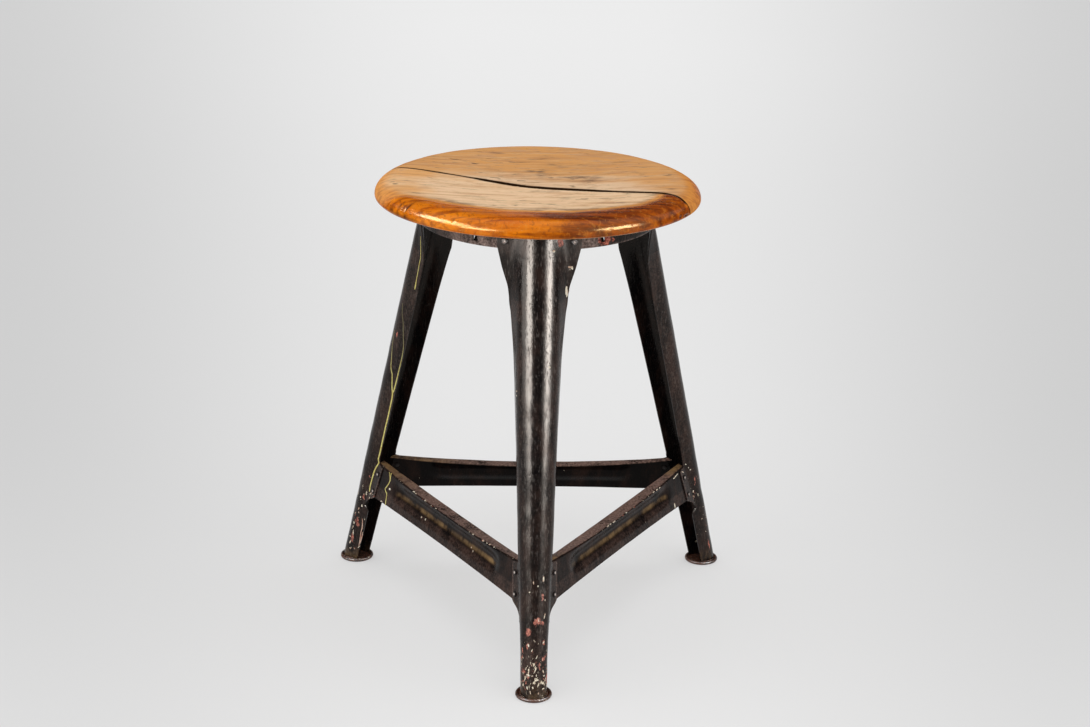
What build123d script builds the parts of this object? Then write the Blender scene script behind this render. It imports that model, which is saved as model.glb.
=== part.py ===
from build123d import *

import os
from math import acos, asin, atan2, cos, degrees, hypot, radians, sin

# A three-legged workshop stool: a round wooden seat on a pressed-steel ring, three channel legs,
# three beaded stretchers and three disc feet. Millimetres, +Z up. The origin is on the floor, under
# the centre of the seat, and the front leg points along -Y.

# ---------------------------------------------------------------- driving dimensions
# seat
SEAT_RADIUS = 175.0
SEAT_TOP = 492.5
SEAT_BOTTOM = 475.0
SEAT_EDGE_DROP = 14.5  # height of the rounded upper edge
SEAT_EDGE_RUN = 21.5  # how far in the rounded upper edge reaches
SEAT_LOWER_ROUND = 3.0
SEAT_DISH = 6.0  # depth of the hollow in the middle
DISH_SHOULDER = 0.55  # share of the flat radius where the hollow has reached most of its depth
DISH_SHARE = 0.72

# the open joint between the two boards: x, y along it, and how wide it has opened
JOINT_LINE = [
    (-180.0, 57.0, 0.8),
    (-149.0, 49.0, 1.2),
    (-104.0, 36.0, 1.6),
    (-60.0, 20.5, 2.8),
    (-9.0, -3.0, 3.8),
    (45.0, -16.0, 3.8),
    (104.0, -36.0, 2.8),
    (135.0, -48.0, 2.2),
    (153.0, -70.0, 1.6),
    (168.0, -86.0, 1.2),
]

# ring under the seat
SHEET = 1.5
RING_RADIUS = 128.0
RING_BOTTOM = 451.0
RING_FLANGE = 24.0  # width of the inward top flange, from the outer face
RING_BEND = 1.35  # outer radius of the bend between wall and flange
RING_WINDOW = 5.0
RING_WINDOW_Z = 458.0
RING_WINDOW_ANGLE = 31.0  # each side of a leg

# legs: spine and mouth are straight lines, as radius at the floor and lean per millimetre of height
LEG_COUNT = 3
LEG_ANGLE = 360.0 / LEG_COUNT
SPINE_AT_FLOOR = 253.2
SPINE_LEAN = 0.245
MOUTH_AT_FLOOR = 228.9
MOUTH_LEAN = 0.2636
MOUTH_AT_RING = 125.7  # the mouth is flat, and meets the wings where they curve past it
LEG_TOP = 474.5
FIT = 0.2  # gap between curved sheets that lie on each other
# height, nose radius and half width at the mouth
LEG_SECTIONS = [
    (50.0, 14.6, 14.6),
    (157.0, 18.7, 18.7),
    (278.0, 22.0, 22.7),
    (351.0, 23.5, 25.8),
    (400.0, 24.5, 30.5),
]
LEG_SECTIONS_TOP = (24.5, 27.0)  # nose radius and half width at the leg's top
LEG_FOOT_HALF_WIDTH = 13.6
# outline of a wing that lies on the ring, as half width and height
WING_OUTLINE = [(29.6, 394.0), (32.0, 412.0), (38.3, 432.0), (43.5, 454.0), (43.5, LEG_TOP)]

# stretchers
STRETCHER_DISTANCE = 113.3  # outer face to the stool's axis, at the reference height
STRETCHER_Z = 118.0
STRETCHER_TILT = 9.0
STRETCHER_TOP = 15.0  # at the ends, above the reference height, along the plate
STRETCHER_FOOT = -27.5
STRETCHER_TOP_DIP = 6.5  # the edges bow towards each other at the middle
STRETCHER_FOOT_RISE = 2.1
STRETCHER_HALF_SPAN = 162.0
STRETCHER_FLANGE = 15.3  # width of the top flange at the middle
STRETCHER_FLANGE_TAPER = 6.9  # how much narrower it is at the ends
STRETCHER_END_GAP = 0.5  # between a stretcher's end and a leg's free edges
BEAD_HALF_LENGTH = 122.0
BEAD_HEIGHT = 20.6
BEAD_CENTRE = -4.2
BEAD_DEPTH = 4.5
BEAD_TAPER = 40.0

# ears: the flaps of a leg that lie on the ends of the stretchers
# as distance from the stretcher's middle and height along its plate
EAR_OUTLINE = [(180.0, -37.0), (158.6, -26.5), (148.0, 15.0), (172.0, 21.0)]
EAR_ROOT = 165.0  # the outline's corners beyond this lie inside the leg
EAR_CORNER = 4.0

# feet
FOOT_RADIUS = 19.3
FOOT_FLOOR = 2.2
FOOT_RIM_HEIGHT = 4.4
FOOT_RIM_WIDTH = 2.5
FOOT_CENTRE = 236.6

# fasteners
RING_RIVET_ANGLE = 16.0
RING_RIVET_Z = 459.5
RING_RIVET_HEAD = 3.8
EAR_RIVET_HEAD = 3.2
RIVET_SHANK = 2.2
DOME_RATIO = 0.58  # height of a rivet head against its radius
RIVET_CLEARANCE = 0.05
EAR_RIVETS = [(156.9, 2.0), (162.4, -20.2)]  # distance from the middle, height along the plate
SCREW_COUNT = 6
SCREW_CIRCLE = 113.0
SCREW_SHANK = 1.9
SCREW_HEAD = 4.2
SCREW_HEAD_HEIGHT = 2.4
SCREW_DEPTH = 9.5
SCREW_END_GAP = 0.5
SCREW_POINT = 1.3  # chamfer at the screw's end

# ---------------------------------------------------------------- what follows from them
WING_RADIUS = RING_RADIUS + FIT
TILT = radians(STRETCHER_TILT)
# outer face of a stretcher, seen along the rear one: local x runs along it and local y up it
STRETCHER_PLANE = Plane(
    origin=(0, STRETCHER_DISTANCE, STRETCHER_Z),
    x_dir=(-1, 0, 0),
    z_dir=(0, cos(TILT), sin(TILT)),
)


def spine_radius(z):
    """Distance from the axis to a leg's outermost line at height z."""
    return SPINE_AT_FLOOR - SPINE_LEAN * z


def mouth_radius(z):
    """Distance from the axis to the free edges of a leg's channel at height z."""
    return max(MOUTH_AT_FLOOR - MOUTH_LEAN * z, MOUTH_AT_RING)


# ---------------------------------------------------------------- seat
def joint_edge(side):
    """One edge of the open joint; side is -1 for the front board and +1 for the rear one."""
    return [(x, y + side * width / 2) for x, y, width in JOINT_LINE]


def screw_points(side):
    """Places of the seat screws that enter one board."""
    points = []
    for step in range(SCREW_COUNT):
        angle = radians(step * 360 / SCREW_COUNT)
        x, y = SCREW_CIRCLE * cos(angle), SCREW_CIRCLE * sin(angle)
        rear = y > 1.0 or (abs(y) < 1.0 and x > 0)
        if rear == (side > 0):
            points.append((x, y))
    return points


def seat_board(side):
    """Half of the dished round seat, from its rim to the open joint."""
    with BuildPart() as board:
        with BuildSketch(Plane.XZ):
            with BuildLine():
                rim_in = SEAT_RADIUS - SEAT_EDGE_RUN
                underside = SEAT_RADIUS - SEAT_LOWER_ROUND
                Line((0, SEAT_BOTTOM), (underside, SEAT_BOTTOM))
                RadiusArc(
                    (underside, SEAT_BOTTOM),
                    (SEAT_RADIUS, SEAT_BOTTOM + SEAT_LOWER_ROUND),
                    -SEAT_LOWER_ROUND,
                )
                EllipticalCenterArc(
                    (rim_in, SEAT_TOP - SEAT_EDGE_DROP),
                    SEAT_EDGE_RUN,
                    SEAT_EDGE_DROP,
                    start_angle=0,
                    arc_size=90,
                )
                Spline(
                    (rim_in, SEAT_TOP),
                    (rim_in * DISH_SHOULDER, SEAT_TOP - SEAT_DISH * DISH_SHARE),
                    (0, SEAT_TOP - SEAT_DISH),
                    tangents=((-1, 0), (-1, 0)),
                )
                Line((0, SEAT_TOP - SEAT_DISH), (0, SEAT_BOTTOM))
            make_face()
        revolve(axis=Axis.Z)
        with BuildSketch(Plane.XY.offset(SEAT_BOTTOM - 1)):
            with BuildLine():
                edge = joint_edge(side)
                far = side * 2 * SEAT_RADIUS
                Spline(*edge)
                Polyline(edge[-1], (edge[-1][0], far), (edge[0][0], far), edge[0])
            make_face()
        extrude(amount=SEAT_TOP - SEAT_BOTTOM + 2, mode=Mode.INTERSECT)
        with BuildSketch(Plane.XY.offset(SEAT_BOTTOM)):
            with Locations(*screw_points(side)):
                Circle(SCREW_SHANK + RIVET_CLEARANCE)
        extrude(amount=SCREW_DEPTH + SCREW_END_GAP, mode=Mode.SUBTRACT)
    return board.part


# ---------------------------------------------------------------- ring
def leg_sides(angle):
    """Angles at the given distance on both sides of every leg."""
    return [-90 + leg * LEG_ANGLE + side * angle for leg in range(LEG_COUNT) for side in (-1, 1)]


def seat_ring():
    """Skirt ring with an inward top flange, windows, rivet holes and screw holes."""
    with BuildPart() as ring:
        with BuildSketch(Plane.XZ):
            with BuildLine():
                flange_in = RING_RADIUS - RING_FLANGE
                wall_in = RING_RADIUS - SHEET
                Polyline(
                    (RING_RADIUS, RING_BOTTOM),
                    (RING_RADIUS, SEAT_BOTTOM),
                    (flange_in, SEAT_BOTTOM),
                    (flange_in, SEAT_BOTTOM - SHEET),
                    (wall_in, SEAT_BOTTOM - SHEET),
                    (wall_in, RING_BOTTOM),
                    close=True,
                )
            make_face()
        revolve(axis=Axis.Z)
        top_circles = ring.edges().group_by(Axis.Z)[-1]
        fillet(top_circles.sort_by(SortBy.RADIUS)[-1], RING_BEND)
        for angle in leg_sides(RING_RIVET_ANGLE):
            with BuildSketch(radial_plane(angle, RING_RADIUS - 2 * SHEET, RING_RIVET_Z)):
                Circle(RIVET_SHANK + RIVET_CLEARANCE)
            extrude(amount=4 * SHEET, mode=Mode.SUBTRACT)
        for angle in leg_sides(RING_WINDOW_ANGLE):
            with BuildSketch(radial_plane(angle, RING_RADIUS - 2 * SHEET, RING_WINDOW_Z)):
                Rectangle(RING_WINDOW, RING_WINDOW)
            extrude(amount=4 * SHEET, mode=Mode.SUBTRACT)
        with BuildSketch(Plane.XY.offset(SEAT_BOTTOM - 2 * SHEET)):
            with Locations(*screw_points(-1), *screw_points(1)):
                Circle(SCREW_SHANK + RIVET_CLEARANCE)
        extrude(amount=3 * SHEET, mode=Mode.SUBTRACT)
    return ring.part


def radial_plane(angle, radius, z):
    """Plane that faces away from the stool's axis at the given angle."""
    direction = (cos(radians(angle)), sin(radians(angle)), 0)
    return Plane(
        origin=(radius * direction[0], radius * direction[1], z),
        x_dir=(-direction[1], direction[0], 0),
        z_dir=direction,
    )


# ---------------------------------------------------------------- legs
def channel_outline(z, nose, half_width, wall, past_mouth):
    """Right half of the front leg's channel at height z: a flank's end, its touch point, the nose.

    wall moves the outline inwards by the sheet's thickness, and past_mouth carries the flanks on
    beyond the channel's free edges, towards the axis.
    """
    centre = spine_radius(z) - nose
    depth = centre - mouth_radius(z)
    touch = atan2(depth, half_width) - acos(nose / hypot(half_width, depth))
    radius = nose - wall
    touch_point = (radius * cos(touch), -centre + radius * sin(touch))
    run = (past_mouth - mouth_radius(z) - touch_point[1]) / cos(touch)
    flank_end = (touch_point[0] - sin(touch) * run, touch_point[1] + cos(touch) * run)
    return flank_end, touch_point, (0, -centre - radius)


def channel(bottom, top, wall, past_mouth):
    """Solid inside the channel's outline, lofted along the front leg."""
    levels = [(bottom, LEG_FOOT_HALF_WIDTH, LEG_FOOT_HALF_WIDTH)] + LEG_SECTIONS
    levels.append((top, *LEG_SECTIONS_TOP))
    with BuildPart() as body:
        for z, nose, half_width in levels:
            flank_end, touch, tip = channel_outline(z, nose, half_width, wall, past_mouth)
            with BuildSketch(Plane.XY.offset(z)):
                with BuildLine():
                    Line((-flank_end[0], flank_end[1]), (-touch[0], touch[1]))
                    ThreePointArc((-touch[0], touch[1]), tip, touch)
                    Line(touch, flank_end)
                    Line(flank_end, (-flank_end[0], flank_end[1]))
                make_face()
        loft(ruled=True)
    return body.part


def wings():
    """The two flat wings of the front leg, on the outside of the ring, still joined in the middle."""
    lowest = WING_OUTLINE[0][1]
    with BuildPart() as sheet:
        with BuildSketch(Plane.XY.offset(lowest)):
            Circle(WING_RADIUS + SHEET)
            Circle(WING_RADIUS, mode=Mode.SUBTRACT)
        extrude(amount=LEG_TOP - lowest)
        with BuildSketch(Plane.XZ):
            with BuildLine():
                mirrored = [(-x, z) for x, z in WING_OUTLINE]
                Polyline(*WING_OUTLINE, *reversed(mirrored), close=True)
            make_face()
        extrude(amount=2 * RING_RADIUS, mode=Mode.INTERSECT)
        for angle in (-90 - RING_RIVET_ANGLE, -90 + RING_RIVET_ANGLE):
            with BuildSketch(radial_plane(angle, RING_RADIUS - SHEET, RING_RIVET_Z)):
                Circle(RIVET_SHANK + RIVET_CLEARANCE)
            extrude(amount=4 * SHEET, mode=Mode.SUBTRACT)
    return sheet.part


def ear(side):
    """Ear over one end of the rear stretcher; side +1 is the end by the left leg."""
    with BuildPart() as flap:
        with BuildSketch(STRETCHER_PLANE.offset(RIVET_CLEARANCE)):
            with BuildLine():
                Polyline(*[(side * x, y) for x, y in EAR_OUTLINE], close=True)
            make_face()
            edge_corners = [v for v in vertices() if abs(v.X) < EAR_ROOT]
            fillet(edge_corners, EAR_CORNER)
            with Locations(*[(side * x, y) for x, y in EAR_RIVETS]):
                Circle(RIVET_SHANK + RIVET_CLEARANCE, mode=Mode.SUBTRACT)
        extrude(amount=SHEET)
    return flap.part


def front_leg():
    """The leg that points along -Y: a channel with two wings and two ears."""
    with BuildPart() as leg:
        add(channel(FOOT_FLOOR, LEG_TOP, 0, 0))
        add(wings())
        add(ear(1).rotate(Axis.Z, LEG_ANGLE))
        add(ear(-1).rotate(Axis.Z, -LEG_ANGLE))
        add(channel(FOOT_FLOOR - 1, LEG_TOP + 1, SHEET, 2 * BEAD_DEPTH), mode=Mode.SUBTRACT)
    return leg.part


# ---------------------------------------------------------------- stretchers
def mouth_plane(leg_angle):
    """Plane through the free edges of the leg at the given angle, facing away from the axis."""
    angle = radians(leg_angle)
    reach = MOUTH_AT_FLOOR - STRETCHER_END_GAP
    return Plane(
        origin=(reach * cos(angle), reach * sin(angle), 0),
        z_dir=(cos(angle), sin(angle), MOUTH_LEAN),
    )


def bowed_edge(middle, bow):
    """Arc along the stretcher: its place at the middle, and how much its ends are off it."""
    reach = STRETCHER_HALF_SPAN + 2 * STRETCHER_FLANGE
    end = middle + bow * (reach / STRETCHER_HALF_SPAN) ** 2
    return (-reach, end), (0, middle), (reach, end)


def rear_stretcher():
    """Plate with bowed edges, an inward top flange and a long pressed bead."""
    top = bowed_edge(STRETCHER_TOP - STRETCHER_TOP_DIP, STRETCHER_TOP_DIP)
    foot = bowed_edge(STRETCHER_FOOT + STRETCHER_FOOT_RISE, -STRETCHER_FOOT_RISE)
    under_top = [(x, y - SHEET) for x, y in top]
    inner = bowed_edge(STRETCHER_DISTANCE - STRETCHER_FLANGE, STRETCHER_FLANGE_TAPER)
    with BuildPart() as stretcher:
        with BuildSketch(STRETCHER_PLANE):
            with BuildLine():
                ThreePointArc(*top)
                Line(top[2], foot[2])
                ThreePointArc(*foot)
                Line(foot[0], top[0])
            make_face()
        extrude(amount=-SHEET)
        with BuildSketch(STRETCHER_PLANE):
            with BuildLine():
                ThreePointArc(*top)
                Line(top[2], under_top[2])
                ThreePointArc(*under_top)
                Line(under_top[0], top[0])
            make_face()
        extrude(amount=STRETCHER_FLANGE, dir=(0, -1, 0))
        with BuildSketch(Plane.XY.offset(STRETCHER_Z)):
            with BuildLine():
                ThreePointArc(*inner)
                Polyline(inner[2], (inner[2][0], 0), (inner[0][0], 0), inner[0])
            make_face()
        extrude(amount=2 * STRETCHER_TOP, mode=Mode.SUBTRACT)
        with BuildSketch(STRETCHER_PLANE):
            with Locations((0, BEAD_CENTRE)):
                SlotOverall(2 * BEAD_HALF_LENGTH + 2 * SHEET, BEAD_HEIGHT + 2 * SHEET)
        extrude(amount=-BEAD_DEPTH - SHEET, taper=BEAD_TAPER)
        with BuildSketch(STRETCHER_PLANE):
            with Locations((0, BEAD_CENTRE)):
                SlotOverall(2 * BEAD_HALF_LENGTH, BEAD_HEIGHT)
        extrude(amount=-BEAD_DEPTH, taper=BEAD_TAPER, mode=Mode.SUBTRACT)
        with BuildSketch(STRETCHER_PLANE):
            with Locations(*[(side * x, y) for x, y in EAR_RIVETS for side in (-1, 1)]):
                Circle(RIVET_SHANK + RIVET_CLEARANCE)
        extrude(amount=-2 * SHEET, mode=Mode.SUBTRACT)
        for leg_angle in (90 - LEG_ANGLE / 2, 90 + LEG_ANGLE / 2):
            split(bisect_by=mouth_plane(leg_angle), keep=Keep.BOTTOM)
    return stretcher.part


# ---------------------------------------------------------------- feet
def front_foot():
    """Round disc with a raised, rounded rim; it stands flat on the floor."""
    with BuildPart() as foot:
        with BuildSketch(Plane.XZ):
            with BuildLine():
                rim_in = FOOT_RADIUS - FOOT_RIM_WIDTH
                Polyline(
                    (0, 0),
                    (FOOT_RADIUS - 1, 0),
                    (FOOT_RADIUS, FOOT_FLOOR),
                    (FOOT_RADIUS, FOOT_RIM_HEIGHT - FOOT_RIM_WIDTH / 2),
                )
                ThreePointArc(
                    (FOOT_RADIUS, FOOT_RIM_HEIGHT - FOOT_RIM_WIDTH / 2),
                    (FOOT_RADIUS - FOOT_RIM_WIDTH / 2, FOOT_RIM_HEIGHT),
                    (rim_in, FOOT_RIM_HEIGHT - FOOT_RIM_WIDTH / 2),
                )
                Polyline(
                    (rim_in, FOOT_RIM_HEIGHT - FOOT_RIM_WIDTH / 2),
                    (rim_in, FOOT_FLOOR),
                    (0, FOOT_FLOOR),
                    (0, 0),
                )
            make_face()
        revolve(axis=Axis.Z)
    return foot.part.translate((0, -FOOT_CENTRE, 0))


# ---------------------------------------------------------------- fasteners
def dome_head(radius, height):
    """Domed rivet head that stands on the workplane."""
    ball = (radius**2 + height**2) / (2 * height)
    base = degrees(asin((ball - height) / ball))
    return Sphere(ball, arc_size1=base, arc_size2=90, align=(Align.CENTER, Align.CENTER, Align.MIN))


def rivets(planes, grip, head):
    """Rivets that start on the given planes and clamp sheets of the given total thickness."""
    with BuildPart(*planes) as group:
        Cylinder(RIVET_SHANK, grip, align=(Align.CENTER, Align.CENTER, Align.MIN))
        with Locations((0, 0, grip)):
            dome_head(head, head * DOME_RATIO)
        with Locations(Location((0, 0, 0), (180, 0, 0))):
            dome_head(head, head * DOME_RATIO / 2)
    return group.part


def ring_rivets():
    """The two rivets that hold the front leg's wings on the ring."""
    start = RING_RADIUS - SHEET - 2 * RIVET_CLEARANCE
    grip = WING_RADIUS + SHEET + 2 * RIVET_CLEARANCE - start
    planes = [radial_plane(-90 + side * RING_RIVET_ANGLE, start, RING_RIVET_Z) for side in (-1, 1)]
    return rivets(planes, grip, RING_RIVET_HEAD)


def ear_rivets(side):
    """The two rivets at one end of the rear stretcher; side +1 is the end by the left leg."""
    back = STRETCHER_PLANE.offset(-SHEET - RIVET_CLEARANCE)
    planes = [
        Plane(origin=back.from_local_coords((side * x, y, 0)), x_dir=back.x_dir, z_dir=back.z_dir)
        for x, y in EAR_RIVETS
    ]
    return rivets(planes, 2 * SHEET + 3 * RIVET_CLEARANCE, EAR_RIVET_HEAD)


def seat_screws():
    """Wood screws, head down, through the ring's flange into the boards."""
    with BuildPart() as screws:
        flange_under = SEAT_BOTTOM - SHEET
        with BuildSketch(Plane.XY.offset(flange_under - SCREW_HEAD_HEIGHT)):
            with Locations(*screw_points(-1), *screw_points(1)):
                Circle(SCREW_HEAD)
        extrude(amount=SCREW_HEAD_HEIGHT)
        fillet(screws.edges().group_by(Axis.Z)[0], SCREW_HEAD_HEIGHT / 2)
        with BuildSketch(Plane.XY.offset(flange_under)):
            with Locations(*screw_points(-1), *screw_points(1)):
                Circle(SCREW_SHANK)
        extrude(amount=SCREW_DEPTH + SHEET)
        chamfer(screws.edges().group_by(Axis.Z)[-1], SCREW_POINT)
    return screws.part


# ---------------------------------------------------------------- assembly and export
def pieces():
    """Every piece of the stool, as (node name, part)."""
    yield "seat_board_front", seat_board(-1)
    yield "seat_board_rear", seat_board(1)
    yield "seat_ring", seat_ring()
    yield "seat_screws", seat_screws()
    leg, foot, leg_rivets = front_leg(), front_foot(), ring_rivets()
    for turn, place in ((0, "front"), (LEG_ANGLE, "right"), (-LEG_ANGLE, "left")):
        yield f"leg_{place}", leg.rotate(Axis.Z, turn)
        yield f"foot_{place}", foot.rotate(Axis.Z, turn)
        yield f"ring_rivets_{place}", leg_rivets.rotate(Axis.Z, turn)
    stretcher = rear_stretcher()
    ends = {1: ear_rivets(1), -1: ear_rivets(-1)}
    for turn, place, joints in (
        (0, "rear", {1: "left_rear", -1: "right_rear"}),
        (LEG_ANGLE, "left", {1: "front_left", -1: "left_front"}),
        (-LEG_ANGLE, "right", {1: "right_front", -1: "front_right"}),
    ):
        yield f"stretcher_{place}", stretcher.rotate(Axis.Z, turn)
        for side, joint in joints.items():
            yield f"stretcher_rivets_{joint}", ends[side].rotate(Axis.Z, turn)


os.makedirs("parts", exist_ok=True)
for name, part in pieces():
    part.label = name
    export_step(part, f"parts/{name}.step")
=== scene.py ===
from math import acos, atan2, cos, degrees, hypot, pi, radians, sin, sqrt, tan

import bpy
import numpy as np
from mathutils import Matrix, Vector


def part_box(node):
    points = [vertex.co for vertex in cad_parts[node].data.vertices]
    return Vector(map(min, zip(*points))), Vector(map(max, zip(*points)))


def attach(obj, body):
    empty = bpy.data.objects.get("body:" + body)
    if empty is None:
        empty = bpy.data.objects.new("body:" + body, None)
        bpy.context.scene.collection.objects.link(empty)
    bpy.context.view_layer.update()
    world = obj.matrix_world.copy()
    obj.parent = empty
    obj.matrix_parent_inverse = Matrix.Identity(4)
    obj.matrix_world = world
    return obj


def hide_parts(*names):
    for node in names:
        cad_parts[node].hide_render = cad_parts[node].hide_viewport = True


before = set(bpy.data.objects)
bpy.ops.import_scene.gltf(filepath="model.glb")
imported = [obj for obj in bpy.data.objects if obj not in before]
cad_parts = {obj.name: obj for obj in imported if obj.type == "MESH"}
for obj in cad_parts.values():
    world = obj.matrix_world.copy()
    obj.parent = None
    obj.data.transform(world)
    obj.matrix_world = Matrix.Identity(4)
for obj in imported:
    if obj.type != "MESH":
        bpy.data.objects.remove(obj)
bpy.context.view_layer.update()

MM = 0.001

# ---------------------------------------------------------------- sizes, in millimetres, from the frame


def box_mm(node):
    """Lowest and highest corner of a CAD node in millimetres."""
    low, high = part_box(node)
    return np.array(low) / MM, np.array(high) / MM


SEAT_LOW, SEAT_HIGH = box_mm("seat_board_front")
RING_LOW, RING_HIGH = box_mm("seat_ring")
SEAT_BOTTOM, SEAT_TOP = SEAT_LOW[2], SEAT_HIGH[2]
SEAT_RADIUS = -SEAT_LOW[1]
RING_RADIUS, RING_BOTTOM = RING_HIGH[0], RING_LOW[2]
RING_INSIDE, FLANGE_HOLE, SCREW_CIRCLE = 126.5, 104.0, 113.0
SHEET = 1.5
EDGE_DROP, EDGE_RUN, LOWER_ROUND, DISH = 14.5, 21.5, 3.0, 6.0
BOARD_COLUMNS = 330
# (x, y, width) along the open joint between the boards
JOINT_LINE = [
    (-180, 57, 0.8), (-149, 49, 1.2), (-104, 36, 1.6), (-60, 20.5, 2.8), (-9, -3, 3.8), (45, -16, 3.8),
    (104, -36, 2.8), (135, -48, 2.2), (153, -70, 1.6), (168, -86, 1.2),
]
LEG_FOOT, LEG_TOP, WELD_Z = 2.2, 474.5, 2.25
# how far a leg's nose and its free edges are from the axis at the floor, and how much nearer per height
NOSE_AT_FLOOR, NOSE_LEAN = 253.2, 0.245
MOUTH_AT_FLOOR, MOUTH_LEAN, MOUTH_AT_RING = 228.9, 0.2636, 125.7
WING_RADIUS = RING_RADIUS + 0.2 + SHEET
# (height, size): radius of a leg's nose, half its width at the free edges, half the width over its wings
NOSE_TABLE = [(0, 13.6), (50, 14.6), (157, 18.7), (278, 22), (351, 23.5), (400, 24.5), (475, 24.5)]
HALF_TABLE = [
    (0, 13.6), (50, 14.6), (67, 15.4), (157, 18.7), (205, 20.2), (278, 22.7), (327, 24.6), (351, 25.8),
    (375, 27.9), (400, 30.4), (430, 29.3), (475, 27),
]
WING_TABLE = [(394, 29.6), (412, 32), (432, 38.3), (454, 43.4), (475, 43.4)]
TILT = radians(9.0)
COS30 = sqrt(0.75)
PLATE_DISTANCE, PLATE_Z, PLATE_END_AT_FLOOR = 113.3, 118.0, 228.4
PLATE_NORMAL = np.array([0, cos(TILT), sin(TILT)])
PLATE_TOP, PLATE_FOOT, TOP_DIP, FOOT_RISE, HALF_SPAN = 15.0, -27.5, 6.5, 2.1, 162.0
PLATE_ROWS, FOLD, STRETCHER_REACH = 46, 2.2, 165.0
FLANGE, FLANGE_TAPER = 15.3, 6.9
BEAD_HALF, BEAD_HEIGHT, BEAD_CENTRE, BEAD_DEPTH = 122.0, 20.6, -4.2, 4.5
# (place up the plate, distance of the ear's edge from the stretcher's middle)
EAR_TABLE = [
    (-60, 226.9), (-46, 180.5), (-38.4, 177.2), (-34.3, 173.2), (-32.1, 170), (-28.5, 161), (-26, 158.4),
    (12.5, 148.7), (14.5, 160), (18, 174), (40, 250),
]
EAR_RIVETS = [(156.9, 2), (162.4, -20.2)]
RING_RIVET = (16.0, 459.5)
WINDOW_ANGLE, WINDOW_Z, WINDOW = 31.0, 458.0, 5.0
FOOT_CENTRE = 236.6
LEGS = {"front": 0.0, "right": 120.0, "left": -120.0}
STRETCHERS = {"rear": 0.0, "left": 120.0, "right": -120.0}
# names of the riveted joints at each stretcher's two ends
EARS = {
    "rear": ("left_rear", "right_rear"),
    "left": ("front_left", "left_front"),
    "right": ("right_front", "front_right"),
}


def table(rows, x):
    """Value at x of a table of (x, value), on straight lines."""
    return np.interp(x, *zip(*rows))


def smooth_table(rows, x, width):
    """Value of the table at x, averaged over the given width, so its corners are rounded."""
    return sum(table(rows, x + width * k) for k in (-1, -0.5, 0, 0.5, 1)) / 5


def smoothstep(low, high, x):
    """Smooth step from 0 at low to 1 at high."""
    t = np.clip((x - low) / (high - low), 0, 1)
    return t * t * (3 - 2 * t)


def bell(x, middle, width):
    """Bell curve: 1 at the middle, 0.37 at the width on either side."""
    return np.exp(-(((x - middle) / width) ** 2))


def blots(x, y, rows):
    """Sum of soft spots (x, y, width, height, strength)."""
    return sum(strength * bell(x, a, wide) * bell(y, b, high) for a, b, wide, high, strength in rows)


def between(a, b, share):
    """From a, where the share is 0, to b, where it is 1."""
    return a * (1 - share) + b * share


def spaced(*spans):
    """Evenly spaced values over (from, to, count) spans that join end to end."""
    return np.append(np.concatenate([np.linspace(*span)[:-1] for span in spans]), spans[-1][1])


def turned(points, degrees_about_z):
    """Points turned about the stool's axis."""
    a = radians(degrees_about_z)
    turn = np.array([[cos(a), -sin(a), 0], [sin(a), cos(a), 0], [0, 0, 1]])
    return np.asarray(points) @ turn.T


def catmull(keys, at):
    """Smooth line through rows of keys, at shares from 0 to 1 of the way."""
    last = len(keys) - 1
    place = np.clip(at * last, 0, last - 1e-9)
    i = place.astype(int)
    t = (place - i)[:, None]
    padded = np.concatenate([[2 * keys[0] - keys[1]], keys, [2 * keys[-1] - keys[-2]]])
    a, b, c, d = (padded[i + k] for k in range(4))
    return 0.5 * (2 * b + (c - a) * t + (2 * a - 5 * b + 4 * c - d) * t**2 + (3 * b - a - 3 * c + d) * t**3)


def lengths_along(line):
    """Distance along a line at each of its points."""
    return np.concatenate([[0], np.cumsum(np.linalg.norm(np.diff(line, axis=0), axis=1))])


def at_lengths(line, at):
    """Points of a flat line at distances along it."""
    return np.column_stack([np.interp(at, lengths_along(line), line[:, k]) for k in (0, 1)])


def directions(line):
    """Unit direction of a line at each of its points."""
    along = np.gradient(line, axis=0)
    return along / np.linalg.norm(along, axis=1, keepdims=True)


# ---------------------------------------------------------------- meshes


def lumps(points, seed, size, octaves=2):
    """Smooth seeded noise from -1 to 1 at points, with lumps of the given size in millimetres."""
    rng = np.random.default_rng(seed)
    total, weight = np.zeros(len(points)), 0.0
    for octave in range(octaves):
        for _ in range(5):
            direction = rng.normal(size=3)
            direction /= np.linalg.norm(direction)
            wave = 2 * pi / (size * 2 ** -octave) * rng.uniform(0.6, 1.5)
            total += 0.6**octave * np.sin(points @ direction * wave + rng.uniform(0, 2 * pi))
        weight += 5 * 0.6**octave
    return total / weight * 2.2


PIECES = []


def add_mesh(name, points, faces, material):
    """A mesh object in the scene, from points in metres."""
    mesh = bpy.data.meshes.new(name)
    mesh.from_pydata(points, [], faces)
    mesh.validate()
    mesh.materials.append(material)
    thing = bpy.data.objects.new(name, mesh)
    bpy.context.scene.collection.objects.link(thing)
    return thing


def add_piece(name, points, faces, material, slot, masks=None):
    """A mesh piece in millimetres that rides on the stool."""
    piece = add_mesh(name, (np.asarray(points) * MM).tolist(), faces, material)
    for mask, values in (masks or {}).items():
        attribute = piece.data.attributes.new(mask, "FLOAT", "POINT")
        attribute.data.foreach_set("value", np.asarray(values, np.float32))
    piece.data.shade_smooth()
    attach(piece, "root")
    PIECES.append(piece)
    return piece


def soften(piece, width):
    """Rounds the crisp edges of a piece by a width in millimetres."""
    bevel = piece.modifiers.new("edges", "BEVEL")
    bevel.width, bevel.segments = width * MM, 2
    bevel.limit_method, bevel.angle_limit = "ANGLE", radians(50)
    bevel.use_clamp_overlap = True
    piece.modifiers.new("normals", "WEIGHTED_NORMAL").keep_sharp = True


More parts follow.
